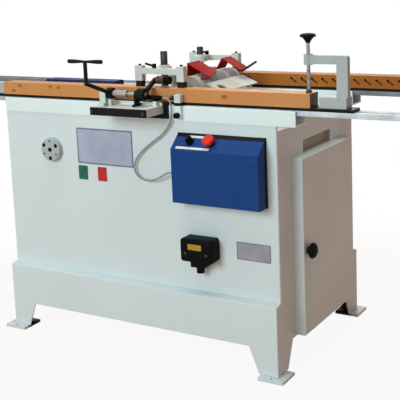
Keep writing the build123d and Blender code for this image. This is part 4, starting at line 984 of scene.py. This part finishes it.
def block(low: Point, high: Point) -> bmesh.types.BMesh:
    """Make a square block.

    Args:
        low: its lowest corner, in metres.
        high: its highest corner.

    Returns:
        The block.
    """
    bm = bmesh.new()
    bmesh.ops.create_cube(bm, size=1.0)
    bmesh.ops.scale(bm, vec=Vector(high) - Vector(low), verts=bm.verts)
    bmesh.ops.translate(bm, vec=(Vector(high) + Vector(low)) / 2, verts=bm.verts)
    return bm


def round_off(bm: bmesh.types.BMesh, edges: Sequence[bmesh.types.BMEdge], radius_mm: float) -> None:
    """Round some edges of a bmesh.

    Args:
        bm: the shape.
        edges: the edges.
        radius_mm: their radius.
    """
    bmesh.ops.bevel(
        bm,
        geom=edges,
        offset=radius_mm * MM,
        affect="EDGES",
        segments=CORNER_STEPS,
        profile=0.5,
        material=-1,
    )


def leaf(low: Point, high: Point, corner_mm: float) -> bmesh.types.BMesh:
    """Make a thin plate facing the operator with rounded corners.

    Args:
        low: its lowest corner, in metres.
        high: its highest corner.
        corner_mm: the radius of its four corners.

    Returns:
        The plate.
    """
    bm = block(low, high)
    bm.normal_update()
    runs = {edge: (edge.verts[0].co - edge.verts[1].co).normalized() for edge in bm.edges}
    round_off(bm, [edge for edge, run in runs.items() if abs(run.y) > ALONG], corner_mm)
    return bm


@dataclass
class Lamp:
    """One soft square lamp."""

    name: str
    place: Point
    aim: Point
    size: float
    power: float
    tint: str

    def hang(self) -> None:
        """Hang the lamp in the scene."""
        light = bpy.data.lights.new(self.name, "AREA")
        light.size = self.size
        light.energy = self.power
        light.color = linear(self.tint)[:3]
        lamp = bpy.data.objects.new(self.name, light)
        lamp.location = self.place
        beam = Vector(self.aim) - Vector(self.place)
        lamp.rotation_euler = beam.to_track_quat("-Z", "Y").to_euler()
        bpy.context.scene.collection.objects.link(lamp)


@dataclass
class Stage:
    """Camera, light and floor."""

    eye: Point = (1.8093, -2.8205, 1.3140)
    yaw: float = 0.54
    pitch: float = 0.165
    roll: float = -0.039
    focal_px: float = 924.9
    centre_px: Pair = (206.3, 120.7)
    frame_px: float = 400.0
    film_mm: float = 36.0
    floor_half: float = 70.0
    near_share: float = 0.93
    shadow_reach: Pair = (0.9, 1.8)
    room_strength: float = 0.1
    room_tint: str = "FFF6EE"
    paper: str = "C9A585"
    lamps: Sequence[Lamp] = (
        Lamp("key", (-0.9, -5.2, 2.6), (0.1, 0.0, 0.5), 2.4, 186.0, "E4F8FF"),
        Lamp("fill", (2.2, -5.0, 1.8), (0.3, 0.0, 0.5), 2.0, 26.0, "F4F8FF"),
        Lamp("top", (0.1, -0.4, 4.4), (0.1, 0.0, 0.6), 3.0, 100.0, "FFF6EA"),
        Lamp("side", (4.0, 0.6, 0.3), (0.5, 0.0, 0.25), 1.6, 9.0, "FF7A30"),
        Lamp("back", (-1.6, 4.8, 2.6), (0.0, 0.0, 0.6), 3.0, 60.0, "FFF8F0"),
    )

    def camera(self) -> None:
        """Stand the camera where the picture was taken from."""
        reach = math.cos(self.pitch)
        north, east = math.cos(self.yaw) * reach, -math.sin(self.yaw) * reach
        ahead = Vector((east, north, -math.sin(self.pitch)))
        level = Vector((math.cos(self.yaw), math.sin(self.yaw), 0.0))
        up = level.cross(ahead)
        right = level * math.cos(self.roll) + up * math.sin(self.roll)
        upright = up * math.cos(self.roll) - level * math.sin(self.roll)
        lens = bpy.data.cameras.new("camera")
        lens.sensor_width = self.film_mm
        lens.lens = self.focal_px / self.frame_px * self.film_mm
        lens.shift_x = 0.5 - self.centre_px[0] / self.frame_px
        lens.shift_y = self.centre_px[1] / self.frame_px - 0.5
        eye = bpy.data.objects.new("camera", lens)
        turn = Matrix((right, upright, -ahead)).transposed().to_4x4()
        eye.matrix_world = Matrix.Translation(self.eye) @ turn
        bpy.context.scene.collection.objects.link(eye)
        bpy.context.scene.camera = eye

    def seen(self, add: Adder) -> bpy.types.NodeSocket:
        """Tell which rays see the background.

        Args:
            add: adds a node to the tree.

        Returns:
            1 for rays that see it directly, in a mirror or through glass.
        """
        ray = add("LightPath").outputs
        direct = (ray["Is Camera Ray"], ray["Is Glossy Ray"])
        either = add("Math", direct, operation="MAXIMUM").outputs[0]
        through = (either, ray["Is Transmission Ray"])
        return add("Math", through, operation="MAXIMUM").outputs[0]

    def world(self) -> None:
        """Fill the room with weak light, white where it is seen."""
        sky = bpy.data.worlds.new("studio")
        bpy.context.scene.world = sky
        add = empty_tree(sky)
        dim = add("Background", {"Color": linear(self.room_tint), "Strength": self.room_strength})
        white = add("Background", {"Color": WHITE, "Strength": 1.0})
        both = add("MixShader", (self.seen(add), dim.outputs[0], white.outputs[0]))
        add("OutputWorld", {"Surface": both.outputs[0]})

    def paper_material(self) -> bpy.types.Material:
        """Make the floor's material.

        Returns:
            Paper that keeps a light shadow near the machine and fades to white.
        """
        material = bpy.data.materials.new("floor_paper")
        add = empty_tree(material)
        # The glow is only for the eye, so no light samples are spent on it
        material.cycles.emission_sampling = "NONE"
        place = add("TexCoord").outputs["Object"]
        reach = add("VectorMath", (place,), operation="LENGTH").outputs["Value"]
        ends = (reach, *self.shadow_reach, self.near_share, 1.0)
        fade = add("MapRange", ends, interpolation_type="SMOOTHSTEP").outputs[0]
        share = add("Math", (self.seen(add), fade), operation="MULTIPLY")
        paper = add("BsdfDiffuse", {"Color": linear(self.paper)})
        glow = add("Emission", {"Color": WHITE, "Strength": 1.0})
        both = add("MixShader", (share.outputs[0], paper.outputs[0], glow.outputs[0]))
        add("OutputMaterial", {"Surface": both.outputs[0]})
        return material

    def floor(self) -> None:
        """Lay a plain pale floor."""
        bm = bmesh.new()
        bmesh.ops.create_grid(bm, x_segments=1, y_segments=1, size=self.floor_half)
        mesh = bpy.data.meshes.new("floor")
        bm.to_mesh(mesh)
        bm.free()
        floor = bpy.data.objects.new("floor", mesh)
        bpy.context.scene.collection.objects.link(floor)
        mesh.materials.append(self.paper_material())

    def build(self) -> None:
        """Set the whole stage."""
        self.camera()
        self.world()
        self.floor()
        for lamp in self.lamps:
            lamp.hang()
        bpy.context.scene.view_settings.view_transform = "Standard"


@dataclass
class SensorCord:
    """The thin cord from the limit sensor down to the control box."""

    diameter: float = 0.006
    length: float = 0.526
    quarter_steps: int = 4
    bend_order: int = 3
    bend_steps: int = 6
    route: Sequence[Point] = (
        (0.152, -0.328, 0.897),
        (0.1665, -0.328, 0.897),
        (0.178, -0.327, 0.8885),
        (0.183, -0.325, 0.8705),
        (0.181, -0.322, 0.845),
        (0.173, -0.320, 0.817),
        (0.155, -0.319, 0.789),
        (0.126, -0.319, 0.764),
        (0.092, -0.319, 0.741),
        (0.060, -0.319, 0.717),
        (0.034, -0.319, 0.691),
        (0.019, -0.319, 0.665),
        (0.021, -0.320, 0.639),
        (0.038, -0.321, 0.620),
        (0.064, -0.323, 0.613),
        (0.092, -0.326, 0.615),
        (0.119, -0.330, 0.624),
        (0.144, -0.334, 0.638),
        (0.167, -0.337, 0.652),
        (0.184, -0.337, 0.652),
    )

    def build(self) -> None:
        """Lay the cord along its route."""
        curve = bpy.data.curves.new("limit_sensor_cord", "CURVE")
        curve.dimensions = "3D"
        curve.bevel_depth = self.diameter / 2
        curve.bevel_resolution = self.quarter_steps
        curve.use_fill_caps = True
        spline = curve.splines.new("NURBS")
        spline.points.add(len(self.route) - 1)
        for point, place in zip(spline.points, self.route):
            point.co = (*place, 1.0)
        spline.order_u = self.bend_order
        spline.use_endpoint_u = True
        spline.resolution_u = self.bend_steps
        curve.materials.append(Palette.get(Coat.CORD))
        cord = bpy.data.objects.new("limit_sensor_cord", curve)
        bpy.context.scene.collection.objects.link(cord)
        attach(cord, "frame")
        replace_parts(cord, "sensor_cord")
        log.info("laid limit_sensor_cord")


@dataclass
class Screw:
    """A socket-head screw seen from its head."""

    name: str
    head: Point
    radius: float
    height: float
    coat: Coat
    ahead: Point = (0.0, -1.0, 0.0)
    sides: int = 24
    socket_sides: int = 6
    socket_share: float = 0.55
    socket_depth: float = 0.5
    edge_share: float = 0.06

    def sink(self, bm: bmesh.types.BMesh, loop: Sequence[bmesh.types.BMEdge], depth: float) -> None:
        """Draw a loop of edges down into a wall and close its bottom.

        Args:
            bm: the screw.
            loop: the edges.
            depth: how far down they go, in metres.
        """
        wall = bmesh.ops.extrude_edge_only(bm, edges=loop)
        low = [item for item in wall["geom"] if isinstance(item, bmesh.types.BMVert)]
        bmesh.ops.translate(bm, vec=(0.0, 0.0, -depth), verts=low)
        bottom = [edge for edge in bm.edges if edge.verts[0] in low and edge.verts[1] in low]
        bmesh.ops.edgeloop_fill(bm, edges=bottom)

    def build(self) -> bpy.types.Object:
        """Turn the head, break its rim and sink a hexagon socket in it.

        Returns:
            The screw.
        """
        bm = bmesh.new()
        bmesh.ops.create_circle(bm, cap_ends=False, segments=self.sides, radius=self.radius)
        rim = list(bm.edges)
        inner = self.socket_share * self.radius
        bmesh.ops.create_circle(bm, cap_ends=False, segments=self.socket_sides, radius=inner)
        hexagon = [edge for edge in bm.edges if edge not in rim]
        bmesh.ops.bridge_loops(bm, edges=rim + hexagon)
        self.sink(bm, hexagon, self.socket_depth * self.height)
        self.sink(bm, rim, self.height)
        bmesh.ops.recalc_face_normals(bm, faces=bm.faces)
        turn = Vector((0.0, 0.0, 1.0)).rotation_difference(Vector(self.ahead)).to_matrix()
        place = Matrix.Translation(self.head) @ turn.to_4x4()
        bmesh.ops.transform(bm, matrix=place, verts=bm.verts)
        piece = finish_piece(bm, self.name, self.coat, "frame")
        add_edges(piece, self.edge_share * self.radius / MM)
        return piece


@dataclass
class FramedPlate:
    """A bare plate with a raised border round a sunken field."""

    name: str
    across: Pair
    up: Pair
    border: Coat
    field: Coat
    face: float = -0.308
    thickness: float = 0.0015
    border_mm: float = 5.0
    gap: float = 0.0002
    sink: float = 0.0006
    corner_mm: float = 3.0

    def build(self) -> bpy.types.Object:
        """Make the border and lay the field in it.

        Returns:
            The border piece.
        """
        bm = leaf(
            (self.across[0], self.face - self.thickness, self.up[0]),
            (self.across[1], self.face, self.up[1]),
            self.corner_mm,
        )
        front = min(bm.faces, key=lambda face: face.calc_center_median().y)
        width = self.border_mm * MM
        bmesh.ops.inset_region(bm, faces=[front], thickness=width, use_even_offset=True)
        bmesh.ops.translate(bm, vec=(0.0, self.sink, 0.0), verts=front.verts)
        border = finish_piece(bm, self.name + "_border", self.border, "frame")
        add_edges(border, Edge.PLATE)
        edge = width + self.gap
        top = self.face - self.thickness + 0.5 * self.sink
        field = leaf(
            (self.across[0] + edge, top, self.up[0] + edge),
            (self.across[1] - edge, top + self.sink, self.up[1] - edge),
            0.5 * self.corner_mm,
        )
        add_edges(finish_piece(field, self.name + "_field", self.field, "frame"), Edge.FOIL)
        return border


@dataclass
class Cabinet:
    """Sheet-steel stand with its plinth, beams, rails, door and front plates."""

    name_plate: Tuple[Pair, Pair] = ((-0.230, 0.008), (0.648, 0.775))
    data_plate: Tuple[Pair, Pair] = ((0.400, 0.522), (0.377, 0.436))
    data_border_mm: float = 3.0
    stripes: Sequence[float] = (-0.230, -0.189, -0.146, -0.107)
    stripe_up: Pair = (0.590, 0.640)
    stripe_corner_mm: float = 1.0
    front: float = -0.308
    film: float = 0.0008
    flange_at: Point = (-0.340, -0.3275, 0.691)
    flange_rim: float = 0.0385
    plinth_half: Pair = (0.553, 0.340)
    wall_area: float = 0.004
    wall_margin_mm: float = 3.0
    foot_margin_mm: float = 1.5
    foot_under: float = -0.5
    gusset_below: float = 0.82
    pad_below: float = 0.86
    tray: Tuple[Point, Point] = ((0.5375, -0.1175, 0.7025), (0.5528, 0.1055, 0.7435))
    tray_wall: float = 0.0008

    def stand(self) -> None:
        """Dress the shell, deck, plinth, feet, beams and rails, with painted shade inside the
        plinth and on the feet within it.
        """
        ease("cabinet_shell", Coat.MINT, Edge.CAST)
        ease("top_deck", Coat.MINT, Edge.BAR)
        ease("plinth_frame", Coat.MINT, Edge.FOLD)
        # Painted shade: a black skin on the plinth's inner walls, for the shadow under the cabinet
        paint_shade_skin("plinth_frame", self.is_inner_wall, "plinth_inside_shade", (), self.wall_margin_mm)
        ease("foot_plates", Coat.MINT, Edge.SOFT)
        # Painted shade: a black skin on the foot plates inside the plinth, for the shadow there
        halves = zip(Axis, self.plinth_half)
        cuts = [(axis, side * half) for axis, half in halves for side in (-1, 1)]
        paint_shade_skin("foot_plates", self.is_under, "foot_inside_shade", cuts, self.foot_margin_mm)
        for side in Side:
            ease(side.value + "_beam", Coat.BEAM)
        ease("front_rail", Coat.RAIL, Edge.BAR)
        ease("rear_rail", Coat.DULL_RAIL, Edge.BAR)
        low, high = self.gusset_below, self.pad_below
        sort_solids(
            "deck_fittings",
            ("beam_gussets", Coat.MINT, Edge.BAR, lambda mid: mid.z < low),
            ("rail_pads", Coat.OXIDE, Edge.BAR, lambda mid: low < mid.z < high),
            ("chip_deflector", Coat.CASTING, Edge.BAR, lambda mid: mid.z > high),
        )
        ease("deck_cover", Coat.NAVY)

    def is_inner_wall(self, face: bmesh.types.BMFace) -> bool:
        """Say whether a face of the plinth looks into the space under the cabinet, where painted
        shade lies on it.
        """
        mid = face.calc_center_median()
        return face.normal.xy.dot(mid.xy) < 0 and face.calc_area() > self.wall_area

    def is_under(self, face: bmesh.types.BMFace) -> bool:
        """Say whether a face of a foot plate lies inside the plinth and doesn't look down: it gets
        painted shade.
        """
        inside = zip(face.calc_center_median().xy, self.plinth_half)
        return all(abs(at) < half for at, half in inside) and face.normal.z > self.foot_under

    def is_bore(self, face: bmesh.types.BMFace) -> bool:
        """Say whether a face of the bearing flange lies inside one of its holes, where painted
        shade lies.

        Args:
            face: the face.

        Returns:
            True in a hole.
        """
        mid = face.calc_center_median()
        reach = math.hypot(mid.x - self.flange_at[0], mid.z - self.flange_at[2])
        return self.flange_at[1] < mid.y < self.front - MM and reach < self.flange_rim

    def flange(self) -> None:
        """Dress the bearing flange, with painted shade in its holes."""
        ease("bearing_flange", Coat.HANDLED)
        # Painted shade: a black skin on the walls of the holes, for the shadow inside them
        paint_shade_skin("bearing_flange", self.is_bore, "flange_bore_shade")

    def recess(self) -> None:
        """Line the hand recess with a darker tray, open to the side: painted shade in the recess.
        """
        bm = block(*self.tray)
        mouth = max(bm.faces, key=lambda face: face.calc_center_median().x)
        bmesh.ops.delete(bm, geom=[mouth], context="FACES_ONLY")
        bmesh.ops.reverse_faces(bm, faces=bm.faces)
        piece = finish_piece(bm, "hand_recess_shade_tray", Coat.RECESS, "frame")
        add_wall(piece, "tray_wall", self.tray_wall)
        add_edges(piece, Edge.FINE)

    def door(self) -> None:
        """Dress the side door, its hinges and its knob."""
        ease("side_door", Coat.MINT)
        ease("door_hinges", Coat.OXIDE)
        ease("door_knob", Coat.BLACK_PLASTIC, Edge.SMALL)

    def plates(self) -> None:
        """Fit the two bare plates and the striped film."""
        name = FramedPlate("name_plate", *self.name_plate, Coat.PLATE_EDGE, Coat.PLATE).build()
        FramedPlate(
            "data_plate",
            *self.data_plate,
            Coat.DATA_EDGE,
            Coat.DATA,
            border_mm=self.data_border_mm,
        ).build()
        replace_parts(name, "panel_plates")
        films = (("green", Coat.GREEN_FILM), ("white", Coat.WHITE_FILM), ("red", Coat.RED_FILM))
        for index, (shade, coat) in enumerate(films):
            low = (self.stripes[index], self.front - self.film, self.stripe_up[0])
            high = (self.stripes[index + 1], self.front, self.stripe_up[1])
            stripe = leaf(low, high, self.stripe_corner_mm)
            add_edges(finish_piece(stripe, shade + "_stripe", coat, "frame"), Edge.FILM)

    def build(self) -> None:
        """Build the cabinet."""
        self.stand()
        self.flange()
        self.recess()
        self.door()
        self.plates()


@dataclass
class ControlBox:
    """Blue switch box with its operators, the connector below it and the screws of both."""

    reach: Pair = (-0.4, -0.3)
    tray_y: float = -0.3225
    strip_z: float = 0.745
    legend_z: float = 0.768
    gland_x: float = 0.2
    housing: Tuple[Point, Point] = ((0.215, -0.362, 0.362), (0.335, -0.308, 0.440))
    housing_corner_mm: float = 10.0
    housing_edge_mm: float = 7.0
    gland_low: float = 0.3
    insert: Tuple[Point, Point] = ((0.246, -0.3628, 0.405), (0.297, -0.3618, 0.424))
    insert_corner_mm: float = 2.0
    cover_screw: Pair = (0.005, 0.002)
    apron_screw: Pair = (0.006, 0.004)
    box_heads: Sequence[Point] = ((0.214, -0.367, 0.705), (0.498, -0.367, 0.705))
    plug_heads: Sequence[Point] = ((0.235, -0.364, 0.392), (0.315, -0.364, 0.392))
    apron_heads: Sequence[Point] = ((-0.067, -0.424, 0.857), (0.135, -0.424, 0.857))
    stop_screw_above: float = 0.88

    def is_strip(self, mid: Vector) -> bool:
        """Say whether a solid is one of the two bare strips."""
        return mid.x > self.gland_x and not self.strip_z < mid.z < self.legend_z

    def is_stop_screw(self, mid: Vector) -> bool:
        """Say whether a solid is the screw of the carriage stop."""
        return mid.z > self.stop_screw_above

    def box(self) -> None:
        """Dress the box and what sits on its lid."""
        cut_up(
            "control_box",
            Axis.Y,
            ("control_box_cover", Coat.BLUE, Edge.PLAIN, (self.reach[0], self.tray_y)),
            ("control_box_tray", Coat.BLACK, Edge.SMALL, (self.tray_y, self.reach[1])),
        )
        ease("control_box_back", Coat.BLACK, Edge.SMALL)
        black = Coat.BLACK_PLASTIC
        sort_solids(
            "box_fittings",
            ("lid_strips", Coat.WHITE_PLASTIC, Edge.FILM, self.is_strip),
            ("lid_collars", black, Edge.SMALL, lambda mid: not self.is_strip(mid)),
        )
        ease("estop_button", Coat.RED_PLASTIC, Edge.BAR)
        ease("selector_knob", black, Edge.CAST)

    def connector(self) -> None:
        """Mould the connector with a rounded outline, dress its gland and lay its bare insert."""
        node, black = "connector_housing", Coat.BLACK_PLASTIC
        bm = leaf(*self.housing, self.housing_corner_mm)
        face_y = self.housing[0][1] + MM
        rim = [edge for edge in bm.edges if all(vert.co.y < face_y for vert in edge.verts)]
        round_off(bm, rim, self.housing_edge_mm)
        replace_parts(finish_piece(bm, "connector_body", black, "frame"), node)
        gland_z = (self.gland_low, self.housing[0][2] - HAIR)
        slice_of(node, Axis.Z, "connector_gland", black, Edge.CAST, gland_z)
        insert = leaf(*self.insert, self.insert_corner_mm)
        add_edges(finish_piece(insert, "connector_insert", Coat.OCHRE, "frame"), Edge.FILM)

    def screws(self) -> None:
        """Fit the screws, the first standing for the node that holds them."""
        sets = (
            ("box_screw", self.box_heads, self.cover_screw, Coat.BLUE),
            ("plug_screw", self.plug_heads, self.cover_screw, Coat.OXIDE),
            ("apron_screw", self.apron_heads, self.apron_screw, Coat.OXIDE),
        )
        fitted = [
            Screw(f"{name}_{index}", head, *size, coat).build()
            for name, heads, size, coat in sets
            for index, head in enumerate(heads)
        ]
        node, name = "cover_screws", "carriage_stop_screw"
        ease(node, Coat.OXIDE, Edge.PLAIN, name, self.is_stop_screw, False)
        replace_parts(fitted[0], node)

    def build(self) -> None:
        """Build the box and its neighbours."""
        self.box()
        self.connector()
        self.screws()


@dataclass
class LeverBracket:
    """Bracket on the front beam with the two hand levers, the sensor and the carriage stop."""

    sleeve_x: Pair = (-0.01, 0.02)
    sleeve_z: float = 0.9
    ear_x: Pair = (0.055, 0.08)
    saddle_left: float = 0.11
    saddle_low: float = 0.875
    saddle_split: float = 0.886
    crank_top: float = 0.8915 + HAIR
    # Heights of the black band of painted shade on the stop block
    band: Pair = (0.8715, 0.8815)
    grip_x: Point = (0.05, 0.135, 0.2)
    below: float = 0.5
    above: float = 1.2

    def is_sleeve(self, mid: Vector) -> bool:
        """Say whether a solid is the spacer sleeve on the shaft."""
        return self.sleeve_x[0] < mid.x < self.sleeve_x[1] and mid.z > self.sleeve_z

    def is_ear(self, mid: Vector) -> bool:
        """Say whether a solid is the black right-hand ear."""
        return self.ear_x[0] < mid.x < self.ear_x[1]

    def is_saddle(self, mid: Vector) -> bool:
        """Say whether a solid is the saddle under the sensor."""
        return mid.x > self.saddle_left and mid.z > self.saddle_low

    def is_table(self, mid: Vector) -> bool:
        """Say whether a solid is the table itself or its left ear."""
        return not (self.is_sleeve(mid) or self.is_ear(mid) or self.is_saddle(mid))

    def casting(self) -> None:
        """Dress the table with its ears, sleeve and shaft."""
        node, edge = "bracket_table", Edge.PLAIN
        ease(node, Coat.CASTING, Edge.BROAD, "bracket_casting", self.is_table)
        foot, clip = (self.below, self.saddle_split), (self.saddle_split, self.above)
        slice_of(node, Axis.Z, "saddle_foot", Coat.CASTING, edge, foot, self.is_saddle)
        slice_of(node, Axis.Z, "saddle_clip", Coat.BLACK_PLASTIC, edge, clip, self.is_saddle)
        ease(node, Coat.TURNED, edge, "shaft_sleeve", self.is_sleeve, False)
        ease(node, Coat.BLACK, Edge.CAST, "right_shaft_ear", self.is_ear, False)
        ease("bracket_apron", Coat.BLACK, Edge.CAST)
        ease("rocker_shaft", Coat.TURNED)

    def levers(self) -> None:
        """Dress the two levers, the feed crank in pale enamel."""
        edge = Edge.PLAIN
        cut_up(
            "feed_lever",
            Axis.Z,
            ("feed_lever_black", Coat.BLACK, edge, (self.crank_top, self.above)),
            ("feed_crank", Coat.CASTING, edge, (self.below, self.crank_top)),
        )
        ease("stroke_lever", Coat.BLACK)
        cut_up(
            "stroke_grip",
            Axis.X,
            ("stroke_grip_brown", Coat.BROWN, edge, self.grip_x[:2]),
            ("stroke_grip_cap", Coat.BLACK_PLASTIC, edge, self.grip_x[1:]),
        )
        ease("limit_sensor", Coat.BLACK_PLASTIC, Edge.SMALL)

    def stop(self) -> None:
        """Dress the stop: pale head, black band of painted shade at the carriage bar, foot in the
        beams' whiter enamel.
        """
        cut_up(
            # Painted shade: the black band stands for a shadowed gap under the head
            "stop_block",
            Axis.Z,
            ("carriage_stop_head", Coat.CASTING, Edge.PLAIN, (self.band[1], self.above)),
            ("carriage_stop_shade_band", Coat.BLACK, Edge.FINE, self.band),
            ("carriage_stop_foot", Coat.BEAM, Edge.PLAIN, (self.below, self.band[0])),
        )
        ease("stop_knob", Coat.BLACK_PLASTIC)

    def build(self) -> None:
        """Build the bracket."""
        self.casting()
        self.levers()
        self.stop()


@dataclass
class Carriage:
    """A sliding bar with its stile, end stop and clamp."""

    side: Side
    stile_coat: Coat
    knob_z: float = 1.06

    def build(self) -> None:
        """Build the carriage."""
        side, knob_z = self.side.value, self.knob_z
        ease(side + "_carriage", Coat.BLACK, Edge.BAR)
        ease(side + "_stile", self.stile_coat, Edge.ROUND)
        ease(side + "_clamp_frame", Coat.HANDLED, Edge.ROUND)
        ease(side + "_clamp_pad", Coat.OXIDE, Edge.SMALL)
        knob, rod = side + "_clamp_knob", side + "_clamp_rod"
        sort_solids(
            side + "_clamp_screw",
            (knob, Coat.BLACK_PLASTIC, Edge.PLAIN, lambda mid: mid.z > knob_z),
            (rod, Coat.THREAD, Edge.PLAIN, lambda mid: mid.z < knob_z),
        )


@dataclass
class Presser:
    """A bridge on a plain column that holds a stile down."""

    side: Side
    foot_below: float = 0.945
    cap_above: float = 0.985

    def build(self) -> None:
        """Build the bridge, its feet, caps and lock lever."""
        side, low, high = self.side.value, self.foot_below, self.cap_above
        body, feet, caps = side + "_bridge_casting", side + "_bridge_feet", side + "_leg_caps"
        sort_solids(
            side + "_presser_bridge",
            (body, Coat.CASTING, Edge.SOFT, lambda mid: low < mid.z < high),
            (feet, Coat.RUBBER, Edge.CAST, lambda mid: mid.z < low),
            (caps, Coat.BLACK_PLASTIC, Edge.BAR, lambda mid: mid.z > high),
        )
        ease(side + "_lock_lever", Coat.BLACK_PLASTIC, Edge.SMALL)


@dataclass
class Head:
    """A router head on its slide, under its folded guard."""

    side: Side
    trim_and_shade_name: str
    trim_beyond: float

    def build(self) -> None:
        """Build the slide, cradle, motor, spindle and guard."""
        side, beyond = self.side.value, self.trim_beyond
        ease(side + "_slide", Coat.CASTING, Edge.CAST)
        ease(side + "_cradle", Coat.CASTING, Edge.CAST)
        ease(side + "_motor", Coat.MOTOR)
        ease(side + "_spindle", Coat.TURNED, Edge.FINE)
        guard = side + "_guard"
        # Beyond the plane the guard is black: painted shade on the front guard's flap, a black
        # handle on the rear guard
        sort_solids(
            guard,
            (guard + "_sheet", Coat.RED, Edge.SMALL, lambda mid: mid.y < beyond),
            (self.trim_and_shade_name, Coat.BLACK, Edge.SMALL, lambda mid: mid.y > beyond),
        )


@dataclass
class Workings:
    """What stands between the two stations: guides, feed rod, reversing rocker, columns."""

    edge_mm: float = Edge.PLAIN

    def build(self) -> None:
        """Build the shared mechanism."""
        ease("head_guides", Coat.RAIL, self.edge_mm)
        ease("feed_rod", Coat.TURNED, self.edge_mm)
        ease("reversing_rocker", Coat.OXIDE, self.edge_mm)
        ease("presser_columns", Coat.OXIDE, self.edge_mm)


def main() -> None:
    """Build the stage and the sub-assemblies in order."""
    logging.basicConfig(level=logging.INFO, format="%(name)s: %(message)s")
    Stage().build()
    SensorCord().build()
    Cabinet().build()
    ControlBox().build()
    LeverBracket().build()
    Carriage(Side.FRONT, Coat.PINE).build()
    Carriage(Side.REAR, Coat.HEART_PINE).build()
    Presser(Side.FRONT).build()
    Presser(Side.REAR).build()
    # The front guard's flap is black as painted shade under the guard
    Head(Side.FRONT, "front_guard_shade_flap", trim_beyond=-0.09).build()
    Head(Side.REAR, "rear_guard_handle", trim_beyond=0.07).build()
    Workings().build()


if __name__ == "__main__":
    main()
